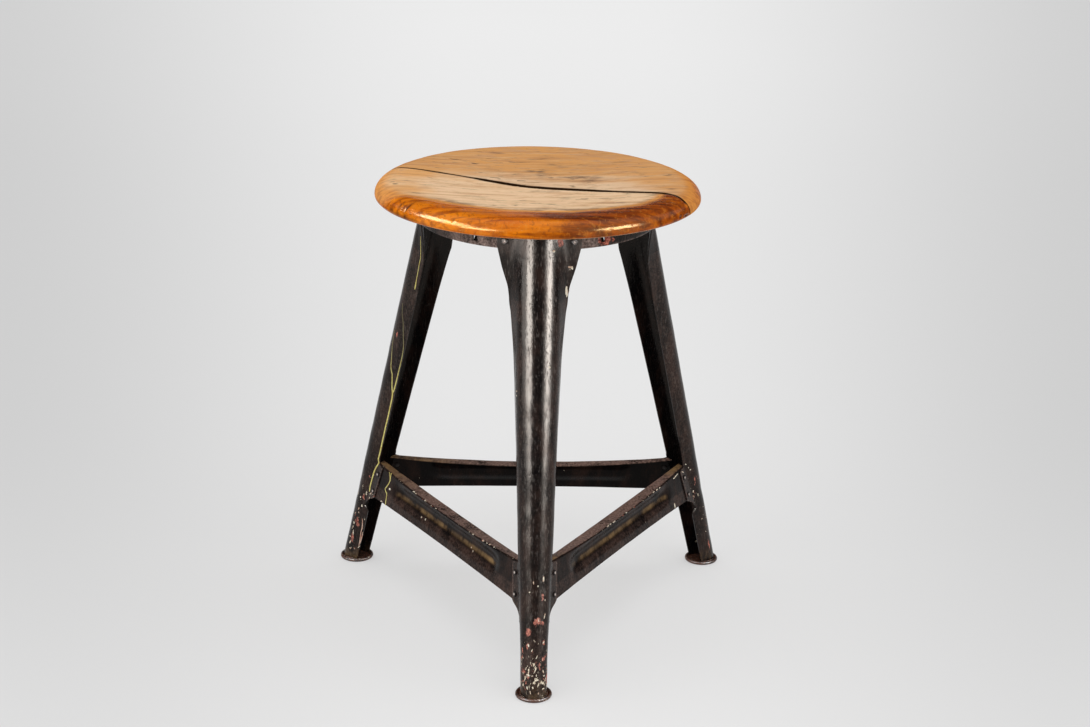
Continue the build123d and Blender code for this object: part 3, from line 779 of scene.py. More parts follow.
def ring_piece(material):
    """Skirt ring with its top flange, rolled lower lip, and square windows with their bent tabs."""
    low, high = WINDOW_Z - WINDOW / 2, WINDOW_Z + WINDOW / 2
    roll, under, tab = 1.35, SEAT_BOTTOM - SHEET, 2.7
    outer = [(RING_RADIUS - 0.15, RING_BOTTOM), (RING_RADIUS, RING_BOTTOM + 0.5)]
    outer += [(RING_RADIUS, z) for z in (RING_BOTTOM + 2, low, WINDOW_Z, high, 464.0, 468.0, 472.0)]
    for a in np.linspace(0, pi / 2, 5):
        outer.append((RING_RADIUS - roll + roll * cos(a), SEAT_BOTTOM - roll + roll * sin(a)))
    outer += [(116.0, SEAT_BOTTOM), (FLANGE_HOLE, SEAT_BOTTOM)]
    inner = [(FLANGE_HOLE, under), (116.0, under), (125.0, under), (126.2, under - 0.4)]
    inner_z = (472.0, 468.0, 464.0, high, WINDOW_Z, low, RING_BOTTOM + 2, RING_BOTTOM + 0.5)
    inner += [(RING_INSIDE, z) for z in inner_z] + [(RING_INSIDE + 0.15, RING_BOTTOM)]
    profile = outer + inner
    # rows of the profile at the windows' lower and upper edges
    out_low, out_high = 3, 5
    in_high, in_low = len(outer) + 7, len(outer) + 9
    angles = set(np.arange(0, 360, 1.5).tolist())
    half = degrees(WINDOW / 2 / RING_RADIUS)
    windows = [(-90 + leg * 120 + side * WINDOW_ANGLE) % 360 for leg in range(3) for side in (-1, 1)]
    for middle in windows:
        angles = {a for a in angles if abs(a - middle) > half + 0.3} | {middle - half, middle, middle + half}
    angles = sorted(angles)
    rows, count = len(profile), len(angles)
    points = [(r * cos(radians(a)), r * sin(radians(a)), z) for r, z in profile for a in angles]
    centres = [(a + b) / 2 for a, b in zip(angles, angles[1:] + angles[:1])]
    in_window = [any(abs(centre - middle) < half for middle in windows) for centre in centres]
    faces = []
    for i in range(rows):
        following = (i + 1) % rows * count
        windowed = out_low <= i < out_high or in_high <= i < in_low
        for j in range(count):
            k = (j + 1) % count
            if not (windowed and in_window[j]):
                faces.append([i * count + j, i * count + k, following + k, following + j])
    for middle in windows:
        a, b, c = (angles.index(x) for x in (middle - half, middle, middle + half))
        rims = []
        for row, step in ((out_low, 1), (in_low, -1)):
            sill, waist, head = (count * (row + step * k) for k in range(3))
            rims.append([sill + a, sill + b, sill + c, waist + c, head + c, head + b, head + a, waist + a])
        rim_out, rim_in = rims
        for k in range(8):
            m = (k + 1) % 8
            faces.append([rim_in[k], rim_in[m], rim_out[m], rim_out[k]])
    for middle in windows:
        a = radians(middle)
        out, along = np.array([cos(a), sin(a), 0]), np.array([-sin(a), cos(a), 0])
        loop = [len(points) + 2 * k for k in range(6)]
        tab_line = ((1.5, low), (2.6, WINDOW_Z - 0.4), (5.2, high + 0.4))
        tab_line += ((6.0, high), (3.5, WINDOW_Z - 1.4), (2.4, low - 0.4))
        for inward, z in tab_line:
            spot = out * (RING_RADIUS - inward) + np.array([0, 0, z])
            points += [tuple(spot - along * tab), tuple(spot + along * tab)]
        faces += [[p, q, q + 1, p + 1] for p, q in zip(loop, loop[1:] + loop[:1])]
        faces += [loop[::-1], [p + 1 for p in loop]]
    points = np.array(points)
    azimuth, z = np.degrees(np.arctan2(points[:, 1], points[:, 0])), points[:, 2]
    outside = np.hypot(points[:, 0], points[:, 1]) > RING_INSIDE + 0.7
    pale = bell(azimuth, -118, 17) * outside
    lip = bell(z, RING_BOTTOM, 1.2) * outside
    # lower lip towards the right rear: worn edge plus a painted highlight line
    rubbed = np.clip(0.06 + 1.1 * pale + 0.45 * lip * (azimuth > -60), 0, 1)
    masks = {
        "worn": np.clip(0.1 + 0.2 * pale + 0.4 * lip, 0, 1),
        "rust": np.zeros(len(points)),
        "rubbed": np.maximum(rubbed, 0.8 * bell(azimuth, -65, 8.5) * outside),
        "primer": blots(azimuth, z, [(-57, 457, 5, 6, 1)]) * outside,
    }
    piece = add_piece("seat_ring_skirt", points, faces, material, "black_enamel", masks)
    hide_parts("seat_ring")
    soften(piece, 0.3)


# ---------------------------------------------------------------- seat

# (azimuth, height, half width in degrees, half height, depth)
RIM_DENTS = [
    (-147.6, 487, 0.45, 3.2, 0.9), (-145, 486.5, 0.3, 3.4, 0.7), (-143.3, 487, 0.55, 4.2, 1.2),
    (-120.8, 486.5, 0.22, 2.2, 0.6), (-151.5, 480, 1.6, 1.6, 0.6), (-147, 479.6, 1.2, 1.4, 0.7),
    (-142.5, 479.4, 1, 1.6, 0.8), (-138.6, 479, 0.8, 1.2, 0.5), (-132.5, 479, 0.6, 1, 0.4),
    (-66, 482, 0.5, 1.3, 0.4), (-60.5, 480, 0.4, 1.2, 0.4), (-33, 479.5, 1, 1.4, 0.6),
    (-98, 479, 0.7, 1, 0.3), (-29, 478.4, 1.4, 1.2, 0.8),
]
# (azimuth, radius from which the front board still has its varnish)
VARNISH_EDGE = [
    (-185, 168), (-166, 168), (-156, 164), (-151, 154), (-140, 144), (-128, 136), (-117, 131), (-106, 131),
    (-95, 130), (-85, 129), (-74, 133), (-63, 134), (-52, 139), (-42, 145), (-30, 146), (-23, 144),
]
# (place along the joint, how dark its sides are: dirt on the worn edges and painted shade of the open joint)
JOINT_SHADE = [
    (-175, 0.35), (-143, 0.45), (-105, 0.6), (-90, 0.28), (-73, 0.4), (-62, 1), (-50, 0.8), (-38, 0.95),
    (-24, 0.85), (-9, 0.42), (3, 0.95), (22, 0.95), (36, 0.85), (54, 0.9), (72, 0.75), (84, 0.3),
    (100, 0.48), (125, 0.62), (140, 0.38), (152, 0.5), (172, 0.35),
]
# (x, y, half width, half height, strength)
STAINS = [
    (-1, 60, 10, 4.5, 1), (12, 48, 15, 5, 0.55), (47, 33, 15, 6.5, 1), (28, 30, 26, 12, 0.45),
    (60, 20, 14, 5, 0.6), (140, -29, 6, 2.2, 1), (128, -20, 9, 1.8, 0.6), (-126, -60, 6, 2, 0.9),
    (-95, -93, 15, 2.6, 1), (-66, -97, 9, 2.2, 0.8), (-45, 124, 7, 2.2, 0.9), (7, 105, 9, 2.2, 0.9),
    (92, 90, 9, 2, 0.7), (114, 68, 9, 2.4, 0.7), (27, -57, 9, 4, 0.45), (10, -24, 22, 4.5, 0.5),
    (-140, -8, 5, 3, 0.45), (-140, -33, 6, 3, 0.5), (-66, -60, 13, 4, 0.5), (5, -110, 30, 2.6, 0.6),
    (86, -84, 16, 2.4, 0.8), (30, 75, 30, 14, 0.25), (-60, 62, 16, 3, 0.3), (70, -60, 16, 3, 0.3),
]
# depths down the joint's side at which it has rows of points
SIDE_DEPTHS = (0.06, 0.35, 0.7)


def joint_curve(side):
    """One edge of the open joint, smooth and cut off at the seat's rim, closer points at its ends."""
    line = catmull(np.array(JOINT_LINE), np.linspace(0, 1, 4001))
    x = line[:, 0]
    wobble = 0.2 * np.sin(x * 0.55 + side) + 0.26 * np.sin(x * 0.21 + 2 * side) + 0.2 * np.sin(x * 1.3)
    opened = smoothstep(-66, -52, x) * (1 - smoothstep(62, 84, x)) * (side < 0)
    y = line[:, 1] + side * (line[:, 2] / 2 + 0.55 * np.abs(wobble) + 0.8 * opened)
    edge = np.column_stack([x, y])[np.hypot(x, y) <= SEAT_RADIUS - 0.02]
    share = np.linspace(0, 1, BOARD_COLUMNS)
    share = (0.5 - 0.5 * np.cos(share * pi)) * 0.35 + share * 0.65
    return at_lengths(edge, share * lengths_along(edge)[-1])


def seat_height(radius):
    """Height of the seat's upper face at a distance from its axis."""
    flat = SEAT_RADIUS - EDGE_RUN
    dish = SEAT_TOP - DISH * (1 - smoothstep(0.0, 1.0, np.clip(radius / flat, 0, 1) ** 1.45))
    edge = np.clip((radius - flat) / EDGE_RUN, 0, 1)
    rounded = SEAT_TOP - EDGE_DROP * (1 - np.sqrt(np.clip(1 - edge**2, 0, 1)))
    return np.where(radius > flat, rounded, dish)


def board_shares():
    """Places between the joint (0) and the rim (1), close together at both."""
    near = [0, 0.0016, 0.0035, 0.006, 0.01, 0.016, 0.024]
    outer = [1 - (1 - 0.78) * cos(a) ** 1.35 for a in np.linspace(0, pi / 2, 46)[1:]]
    return np.concatenate([near, np.linspace(0.034, 0.78, 74), outer])


def board_piece(name, side, material):
    """One board of the seat, side -1 in front of the joint and 1 behind it."""
    joint = joint_curve(side)
    start, end = (degrees(atan2(joint[k][1], joint[k][0])) for k in (0, -1))
    if side < 0:
        start -= 360
    lengths = lengths_along(joint)
    angle = np.radians(start + (end - start) * lengths / lengths[-1])
    rim = np.column_stack([np.cos(angle), np.sin(angle)]) * SEAT_RADIUS
    plan = between(joint, rim, board_shares()[:, None, None])
    rows, columns, _ = plan.shape
    x, y = plan[:, :, 0], plan[:, :, 1]
    radius = np.minimum(np.hypot(x, y), SEAT_RADIUS)
    open_part = smoothstep(-70, -50, x) * (1 - 0.5 * smoothstep(60, 85, x))
    drop, reach = (2.1, 4.0) if side < 0 else (0.15, 0.8)
    near = np.clip(1 - np.linalg.norm(plan - joint, axis=2) / reach, 0, 1)
    soft_edge = (0.12 + (drop - 0.12) * open_part) * near**1.6
    flat = np.column_stack([x.ravel(), y.ravel(), np.zeros(radius.size)])
    uneven = (lumps(flat * np.array([0.5, 1.4, 1]), 5 + side, 60, 3) * 0.16 - 0.2).reshape(radius.shape)
    inward = 1 - smoothstep(SEAT_RADIUS - 9, SEAT_RADIUS - 3, radius)
    top = seat_height(radius) + (uneven - soft_edge) * inward
    pull = blots(np.degrees(np.arctan2(y, x)), top, RIM_DENTS) * (radius > 140)
    upper = np.dstack([plan * (1 - pull / np.maximum(radius, 1))[:, :, None], top - pull * 0.35])
    under_edge = np.clip((radius - (SEAT_RADIUS - LOWER_ROUND)) / LOWER_ROUND, 0, 1)
    under = SEAT_BOTTOM + LOWER_ROUND * (1 - np.sqrt(np.clip(1 - under_edge**2, 0, 1)))
    lower = np.dstack([plan, np.minimum(under, SEAT_TOP - EDGE_DROP)])
    wall = [between(upper[0], lower[0], depth) for depth in SIDE_DEPTHS]
    lower[-1] = upper[-1]
    count = rows * columns
    points = np.concatenate([upper.reshape(-1, 3), lower.reshape(-1, 3), *wall])
    faces = grid_faces(rows, columns, flip=side > 0) + grid_faces(rows, columns, start=count, flip=side < 0)
    layers = [0, *(2 * count + k * columns for k in range(len(SIDE_DEPTHS))), count]
    for a, b in zip(layers, layers[1:]):
        for j in range(columns - 1):
            quad = [a + j, b + j, b + j + 1, a + j + 1]
            faces.append(quad if side > 0 else quad[::-1])
    return add_piece(name, points, faces, material, "seat_wood", seat_masks(points, count, columns, side))


def seat_masks(points, count, columns, side):
    """Where varnish is left, how faded or dark the wood is, grime, stains, dents with painted shade on the
    lower left rim, and the joint's sides with dirt and painted shade.
    """
    x, y, z = points.T
    radius, azimuth = np.hypot(x, y), np.degrees(np.arctan2(y, x))
    rim_angle = np.where(azimuth > 90, azimuth - 360, azimuth)
    if side < 0:
        edge = table(VARNISH_EDGE, rim_angle)
        beyond = radius + np.clip(SEAT_TOP - EDGE_DROP - z, 0, 20) - edge
        varnish = smoothstep(-20, 14, beyond)
        varnish *= 1 - 0.52 * smoothstep(-140, -166, rim_angle) * smoothstep(473, 482, z)
        grime = bell(radius - edge, -12, 7.5) * smoothstep(-154, -138, rim_angle)
        band = smoothstep(-30, 45, x) * (1 - smoothstep(17, 34, beyond)) * (1 - smoothstep(75, 120, x))
        band = 0.12 + 0.58 * band + 0.6 * smoothstep(-40, 50, x) - 0.12 * smoothstep(110, 150, x)
    else:
        varnish = smoothstep(145, 172, radius) + smoothstep(152, 172, radius) * bell(azimuth, 2, 26)
        varnish *= 0.3
        grime, band = np.zeros(len(points)), np.full(len(points), 0.3)
    varnish[(z < SEAT_BOTTOM + 0.6) & (radius < SEAT_RADIUS - 1)] = 0.0
    dent = 1.1 * blots(azimuth, z, [(*row, min(1, deep)) for *row, deep in RIM_DENTS]) * (radius > 140)
    # painted shade: the lower part of the rim at the left is darkened
    dent += 0.65 * bell(azimuth, -146, 12) * smoothstep(480.5, 477.5, z) * (radius > 168)
    stain = blots(x, y, STAINS) * (z > SEAT_BOTTOM + 1)
    # walls painted near-black and the top beside the joint darkened: painted shade of the open joint, with
    # dirt on its worn edges
    cut = np.zeros(len(points))
    cut[2 * count:] = cut[count:count + columns] = 1.0
    joint_x, joint_y = x[:columns], y[:columns]
    shade = table(JOINT_SHADE, joint_x)
    reach = (0.8 + 3.6 * shade) if side < 0 else (0.5 + 1.6 * shade)
    for row in range(8):
        here = slice(row * columns, (row + 1) * columns)
        away = np.hypot(x[here] - joint_x, y[here] - joint_y)
        cut[here] = np.clip(0.6 + 0.5 * shade, 0, 1) * (1 - smoothstep(0.35, 1.3, away / reach))
    pale = (1 - smoothstep(-35, 95, y + 0.12 * x)) * (1 - 0.6 * smoothstep(85, 150, np.abs(x)))
    masks = {"varnish": varnish, "pale": pale, "band": band, "grime": grime}
    return {**masks, "stain": np.clip(stain, 0, 1.2), "dent": np.clip(dent, 0, 1), "cut": cut}


# ---------------------------------------------------------------- rivets, screws and feet


def rivet_profile(head, height, grip):
    """A set rivet: a low ring-shaped head with a hollow crown, and a smaller head behind."""
    rise = [(0.0, 0.42), (0.2, 0.42), (0.31, 0.5), (0.4, 0.84), (0.5, 0.99), (0.64, 0.97), (0.82, 0.76)]
    rise += [(0.94, 0.42), (1.0, 0.06), (0.99, 0.0)]
    shank, tail = 2.2, head * 0.27
    profile = [(head * radius, height * up) for radius, up in rise] + [(shank, 0.0), (shank, -grip)]
    back = ((0.95, 0), (0.8, 0.5), (0.4, 0.92), (0, 1))
    return profile + [(head * radius, -grip - tail * down) for radius, down in back]


def rivet_group(name, node, spots, head, grip, material, height_share=0.56):
    """Rivets at (point, outward direction), as one piece that stands for a CAD node."""
    parts, crown_glints = [], []
    for spot, direction in spots:
        points, faces = revolved(rivet_profile(head, height_share * head, grip), 40, spot, direction)
        parts.append((points, faces))
        away = points - spot
        height = away @ direction
        radius = np.linalg.norm(away - height[:, None] * direction, axis=1)
        # crown mask: a faint ring and a pale centre on each head, partly worn steel, partly a painted glint
        ring = 0.2 * bell(radius, head * 0.5, head * 0.28) * (height > head * 0.3)
        crown_glints.append(np.maximum(ring, np.exp(-((radius / (head * 0.42)) ** 4)) * (height > 0)))
    points, faces = joined(parts)
    piece = add_piece(name, points, faces, material, "rivet_steel", {"crown": np.concatenate(crown_glints)})
    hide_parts(node)


def ring_rivet_spots(turn):
    """Two rivets through a leg's wings into the ring."""
    angle, z = RING_RIVET
    outward = [turned([0, -1, 0], turn + side * angle) for side in (-1, 1)]
    return [(direction * (WING_RADIUS + 0.02) + np.array([0, 0, z]), direction) for direction in outward]


def ear_rivet_spots(side, turn):
    """Two rivets through the ear at one end of a stretcher."""
    direction = turned(PLATE_NORMAL, turn)
    return [(turned(plate_point(side * u, v, SHEET + 0.07), turn), direction) for u, v in EAR_RIVETS]


def foot_piece(place, turn, material):
    """Disc foot with a rolled rim, a little out of round."""
    profile = [
        (0, 2.2), (8, 2.2), (14, 2.2), (16, 2.35), (16.6, 3), (16.9, 3.8), (17.5, 4.3), (18.2, 4.2),
        (18.9, 3.55), (19.25, 2.6), (19.25, 1.7), (18.8, 0.75), (17.9, 0.15), (16.5, 0), (8, 0), (0, 0),
    ]
    centre = turned([0, -FOOT_CENTRE, 0], turn)
    points, faces = revolved(profile, 96, centre)
    away = points[:, :2] - centre[:2]
    radius = np.linalg.norm(away, axis=1)
    uneven = lumps(points, 400 + int(turn), 16, 2) * 0.1 - 0.09
    shrink = 1 + uneven / np.maximum(radius, 6) * (radius > 15)
    points[:, :2] = centre[:2] + away * shrink[:, None]
    disc = add_piece("foot_" + place + "_disc", points, faces, material, "foot_steel")
    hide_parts("foot_" + place)


def weld_piece(place, turn, material):
    """Ragged weld bead round the foot of a leg."""
    outline = LEG_GRID[2, 4:-4, :2]
    count, around = 110, 9
    even = np.linspace(0, lengths_along(outline)[-1], count)
    line = at_lengths(outline, even)
    along = directions(line)
    rng = np.random.default_rng(900 + int(turn))
    size = 1.05 + 0.22 * np.sin(even * 2.4 + rng.uniform(0, 6)) + 0.12 * np.sin(even * 5.3)
    from_end = np.minimum(np.arange(count), np.arange(count)[::-1])
    radius = (np.minimum(1, from_end / 6) * size + 0.05)[:, None]
    a = np.linspace(0, 2 * pi, around + 1)[:-1]
    outward = np.column_stack([along[:, 1], -along[:, 0]])
    flat = line[:, None] + outward[:, None] * (np.cos(a) * radius)[:, :, None]
    points = np.dstack([flat, WELD_Z + (np.sin(a) + 0.35) * radius * 0.9]).reshape(-1, 3)
    add_piece("weld_" + place, turned(points, turn), tube_faces(count, around), material, "foot_steel")


def screw_piece(material):
    """Wood screws, heads down, in the ring's flange."""
    profile = [
        (0.0, 2.4), (1.6, 2.38), (2.9, 2.05), (3.8, 1.3), (4.18, 0.5), (4.2, 0.0),
        (1.9, 0.0), (1.9, -9.0), (1.0, -10.6), (0.0, -10.9),
    ]
    parts = []
    for a in (radians(k * 60) for k in range(6)):
        centre = (SCREW_CIRCLE * cos(a), SCREW_CIRCLE * sin(a), SEAT_BOTTOM - SHEET)
        parts.append(revolved(profile, 28, centre, (0, 0, -1)))
    piece = add_piece("seat_wood_screws", *joined(parts), material, "screw_steel")
    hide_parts("seat_screws")


# ---------------------------------------------------------------- spilt paint

# (column across the sheet, height, length, width, lean) of each flake on a leg
LEG_FLAKES = {
    "front": [
        (65, 408, 14.5, 6.6, 0), (66.6, 404.5, 7, 8.5, 0.6), (55, 453, 3.6, 3.4, 0),
        (70, 433, 4.2, 2.6, 0.5), (72.6, 432, 4.2, 2.8, 0.5), (46, 338, 2.4, 2.4, 0),
        (23, 309.5, 3, 1.4, -0.5), (23, 305, 2, 1, 0), (45, 125, 5.5, 2.8, -0.3), (37.8, 122, 3, 1.6, 0),
        (41, 118.5, 2.6, 1.2, -0.4), (35, 112, 2.4, 1.6, 0), (47, 103, 2.6, 1.2, -0.5),
        (47, 87, 6, 1.6, -0.25), (42, 84, 4, 1.4, 0), (47, 60, 5, 1.4, -1), (34, 57.5, 4.6, 1.8, 0.2),
        (37, 53, 4.6, 1, -0.5), (41, 46, 4, 1.2, -0.5), (37, 38, 2.6, 0.9, -0.3), (40, 33, 6, 1.6, -0.5),
        (47.5, 30, 3.2, 2.4, 0), (34, 27.5, 3, 3, 0), (41, 27.5, 3, 1.2, -0.4), (48.5, 25.5, 2.6, 2, 0),
        (41, 22.5, 2.4, 6, 0.1), (37.5, 27, 2, 1.6, 0), (47, 18.5, 2.6, 2.4, 0), (39, 20.5, 1.6, 2, 0),
        (33, 14, 4, 1.6, 0), (38, 15, 2.6, 2.4, 0), (36, 10, 3.6, 1.6, 0.3), (48, 12.5, 2.6, 3, 0),
        (43, 9, 2.6, 1.4, -0.4), (50, 20, 3, 1.4, 0),
    ],
    "left": [
        (59, 73.6, 5, 1.7, -0.2), (55, 68.8, 4.4, 1.4, -0.2), (56, 64, 2.4, 1.2, -0.2),
        (53, 48.9, 5, 1.6, -0.2), (53, 43.3, 3, 1.6, 0), (55, 36, 8, 1.2, -0.1), (54, 22.9, 6, 1.8, -0.2),
        (56, 15, 4, 1.4, 0.2), (71, 19.5, 4, 1.2, -0.8), (64, 91.5, 5, 1.2, -0.3), (54, 84, 4, 1.2, -0.3),
        (52, 62, 3, 1.2, 0), (52, 30, 3, 1.4, 0), (73, 93.5, 2, 5, 0.5),
    ],
    "right": [
        (4, 127.8, 2, 6, -0.5), (13, 98, 5.5, 1.6, 0.1), (10, 92, 3.6, 1.4, 0.1), (15, 135, 3.4, 1.4, 0.3),
        (19, 126.8, 2.2, 2.2, 0), (16, 130, 2, 1.2, 0), (22, 60, 2.4, 1.2, 0), (24, 42, 2, 1.2, 0),
    ],
}
FLAKE_SIZE = {"front": 0.84, "left": 0.84, "right": 0.72}
# (place along the plate, place up it, length, width) of each flake on a stretcher
PLATE_FLAKES = {
    "left": [
        (-52, -13, 3, 1.4), (-43, -12.8, 3, 1.4), (57, -8.5, 2.6, 1.2), (63, -11, 3, 1.2), (-128, -6, 3, 3),
        (-143, -26, 1.4, 5), (-74, 9.9, 1.3, 3.4), (-69, 9.3, 1, 1.6), (-47, 8.8, 1.3, 2.2),
        (-22, 8.4, 0.8, 1.6), (62, 9, 1, 2), (84, 9.9, 1.4, 3.4), (92, 10.2, 1, 1.6), (98, 10.8, 1.4, 3),
        (107, 11.2, 0.9, 1.4),
    ],
    "right": [
        (140, 9.9, 1.6, 9), (134, 8.6, 1.6, 3), (128.7, -22.5, 8.5, 1.8), (82, 9.6, 1.2, 3),
        (90, 9.4, 1.4, 3), (97, 9.6, 1.4, 2.6), (-30, 8.4, 0.8, 3.6), (-24, 8.5, 0.7, 2.4),
        (-15, 8.4, 0.9, 4.4), (14, 8.4, 0.7, 2),
    ],
}
# (column across the sheet, height, half width) of points on each run of the left leg
TOP_RUN = [
    (62.3, 416, 0.3), (62.5, 408, 0.5), (62.9, 401.5, 0.55), (63.8, 392, 0.55), (64.4, 381.9, 0.6),
    (64.7, 372, 0.6), (64.9, 364.5, 0.65), (65.4, 357, 1.15), (65.5, 353.5, 0.5),
]
BRANCH_RUN = [
    (53, 333.5, 0.3), (55.9, 316.7, 0.5), (63.1, 297.4, 0.6), (68.9, 283.3, 0.65), (70.5, 272, 0.7),
    (70.8, 263.7, 0.75), (70.6, 248.6, 0.8), (70.2, 232.1, 0.8), (69.5, 225, 0.8),
]
LONG_RUN = [
    (50, 299.2, 0.4), (51.4, 281.6, 0.55), (53.2, 267.6, 0.7), (55.5, 251.5, 0.75), (60.5, 239.7, 0.8),
    (65.8, 229.1, 0.85), (68.9, 222, 1.05), (69.7, 213.1, 1), (70, 195.1, 1), (69.8, 181, 0.95),
    (70, 165.3, 1), (70, 140.3, 1), (66.5, 123, 1.05), (67.5, 103.5, 1), (69.5, 97, 1.3), (70.5, 94.5, 0.8),
]
FOOT_RUN = [
    (64.5, 57, 0.35), (66.1, 54, 0.6), (68.5, 44.9, 0.7), (68.2, 39, 0.6), (70, 28, 0.7), (70.5, 20, 0.4),
]
FOOT_EDGE_RUN = [(74, 40, 0.3), (75, 34, 0.55), (74.5, 28, 0.5), (75, 24, 0.3)]
# (place along the plate, place up it, half width) of points on each run of the left stretcher
PLATE_RUN = [
    (-129.7, 12.6, 0.6), (-129.9, 8, 0.85), (-129.8, 4.4, 0.9), (-131.5, 0, 0.8), (-135, -5, 0.8),
    (-138.2, -9, 0.8), (-136.5, -11.5, 0.8), (-133.2, -13.4, 0.8), (-132.9, -18.5, 0.85), (-132.9, -24, 0.9),
    (-132.9, -27, 0.8),
]
PLATE_SPLIT_RUN = [(-134.5, 12.4, 0.35), (-132.5, 9.5, 0.5), (-130.8, 6.5, 0.5), (-130.2, 4.5, 0.4)]


def leg_spot(place, column, z):
    """Point and outward normal on the front of a leg's sheet, before the leg is turned into its place."""
    row = float(np.interp(z, LEG_LEVELS, range(len(LEG_LEVELS))))
    i, j = min(int(row), len(LEG_LEVELS) - 2), min(int(column), LEG_GRID.shape[1] - 2)
    spots = []
    for grid in (LEG_SHEETS[place], LEG_NORMALS):
        low, high = (between(line[j], line[j + 1], column - j) for line in grid[i:i + 2])
        spots.append(between(low, high, row - i))
    return spots[0], spots[1] / np.linalg.norm(spots[1])


def plate_spot(u, v):
    """Point and outward normal on a stretcher's outer face, before it is turned into its place."""
    return plate_point(u, v) - PLATE_NORMAL * (bead(u, v) + 0.18), PLATE_NORMAL


def paint_flake(spot, normal, length, width, lean, seed):
    """Thin irregular flake of paint that follows the sheet: points and faces of a closed body."""
    rng = np.random.default_rng(seed)
    up = np.array([0, 0, 1]) - normal * normal[2]
    up /= np.linalg.norm(up)
    side = np.cross(up, normal)
    up, side = up * cos(lean) - side * sin(lean), side * cos(lean) + up * sin(lean)
    steps = 12
    a = np.linspace(0, 2 * pi, steps, False)
    uneven = 1 + 0.3 * np.sin(2 * a + rng.uniform(0, 6)) + rng.uniform(-0.22, 0.22, steps)
    out = np.outer(np.cos(a) * uneven * length / 2, up) + np.outer(np.sin(a) * uneven * width / 2, side)
    rings = [spot + out * share + normal * lift for share, lift in ((1.0, -0.9), (1.0, 0.1), (0.72, 0.26))]
    points = np.concatenate([*rings, [spot - normal * 0.9, spot + normal * 0.3]])
    faces = grid_faces(3, steps, wrap=True)
    faces += [[3 * steps, (k + 1) % steps, k] for k in range(steps)]
    faces += [[3 * steps + 1, 2 * steps + k, 2 * steps + (k + 1) % steps] for k in range(steps)]
    return points, faces


def paint_run(place_spot, keys, steps):
    """Narrow raised run of paint through its keys: points and faces of a closed body."""
    smooth = catmull(np.array(keys, float), np.linspace(0, 1, steps))
    spots, normals = (np.array(v) for v in zip(*(place_spot(a, b) for a, b, _ in smooth)))
    points = []
    for spot, normal, side, wide in zip(spots, normals, np.cross(directions(spots), normals), smooth[:, 2]):
        for across, lift in ((-1, -0.5), (-0.8, 0.1), (-0.35, 0.3), (0.35, 0.3), (0.8, 0.1), (1, -0.5)):
            points.append(spot + side * across * wide + normal * lift * min(1, wide / 0.5))
    return np.array(points), tube_faces(steps, 6)


def paint_piece(name, bodies, turn, material, thin=None):
    """Bodies of paint as one piece; thin gives how rubbed they are at each height."""
    points, faces = joined(bodies)
    thin = np.zeros(len(points)) if thin is None else thin(points[:, 2])
    add_piece(name, turned(points, turn), faces, material, "black_enamel", {"thin": thin})


def spilt_paint_pieces():
    """Runs and flakes of old paint on the legs and stretchers."""
    yellow = spilt_paint("paint_yellow", (0.63, 0.57, 0.19), (0.52, 0.4, 0.1), (0.105, 0.092, 0.062))
    cream = spilt_paint("paint_cream", (0.8, 0.73, 0.58), (0.52, 0.33, 0.23), (0.45, 0.17, 0.12))
    for place, flakes in LEG_FLAKES.items():
        size, bodies = FLAKE_SIZE[place], []
        for k, (column, z, length, width, lean) in enumerate(flakes):
            bodies.append(paint_flake(*leg_spot(place, column, z), length * size, width * size, lean, 40 + k))
        paint_piece("paint_flakes_leg_" + place, bodies, LEGS[place], cream)

    def runs_piece(name, spot, turn, material, runs, thin=None):
        paint_piece(name, [paint_run(spot, keys, steps) for keys, steps in runs], turn, material, thin)

    def thin_middle(z):
        return smoothstep(225, 300, z) * (z < 345) * 0.85

    def left_leg_spot(column, z):
        return leg_spot("left", column, z)

    runs = (TOP_RUN, 40), (BRANCH_RUN, 60), (LONG_RUN, 120)
    runs_piece("paint_runs_leg_left", left_leg_spot, LEGS["left"], yellow, runs, thin_middle)
    runs = (FOOT_RUN, 30), (FOOT_EDGE_RUN, 12)
    runs_piece("paint_runs_foot_left", left_leg_spot, LEGS["left"], cream, runs, lambda z: 0.55 + 0 * z)
    runs = (PLATE_RUN, 40), (PLATE_SPLIT_RUN, 40)
    runs_piece("paint_run_stretcher_left", plate_spot, STRETCHERS["left"], yellow, runs)
    for place, lean, seed in (("left", 0.2, 80), ("right", 0.15, 120)):
        bodies = []
        for k, (u, v, length, width) in enumerate(PLATE_FLAKES[place]):
            bodies.append(paint_flake(*plate_spot(u, v), length, width, lean, seed + k))
        paint_piece("paint_flakes_stretcher_" + place, bodies, STRETCHERS[place], cream)


# ---------------------------------------------------------------- build the stool

enamel = black_enamel("black_enamel", 1.25)
old_enamel = black_enamel("stretcher_enamel", 1.15, rust_from=0.34)
wood = seat_wood()
rivet_metal = glinting_rivet()
foot_metal = rusty_foot()
for place, turn in LEGS.items():
    leg_piece(place, turn, 200 + int(turn), enamel)
    foot_piece(place, turn, foot_metal)
    weld_piece(place, turn, foot_metal)
    spots = ring_rivet_spots(turn)
    rivet_group("ring_rivet_heads_" + place, "ring_rivets_" + place, spots, 3.75, 3.3, rivet_metal)
for place, turn in STRETCHERS.items():
    stretcher_piece(place, turn, 600 + int(turn), old_enamel)
    for side, joint in zip((1, -1), EARS[place]):
        name, node = "stretcher_rivet_heads_" + joint, "stretcher_rivets_" + joint
        rivet_group(name, node, ear_rivet_spots(side, turn), 3.15, 3.15, rivet_metal, 0.3)
ring_piece(black_enamel("ring_enamel", 1.25, PALE_STEEL_AND_SHEEN))
spilt_paint_pieces()
screw_piece(screw_steel())
for name, side in (("front", -1), ("rear", 1)):
    board = board_piece("seat_board_" + name + "_wood", side, wood)
    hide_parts("seat_board_" + name)

# ---------------------------------------------------------------- camera, floor and light


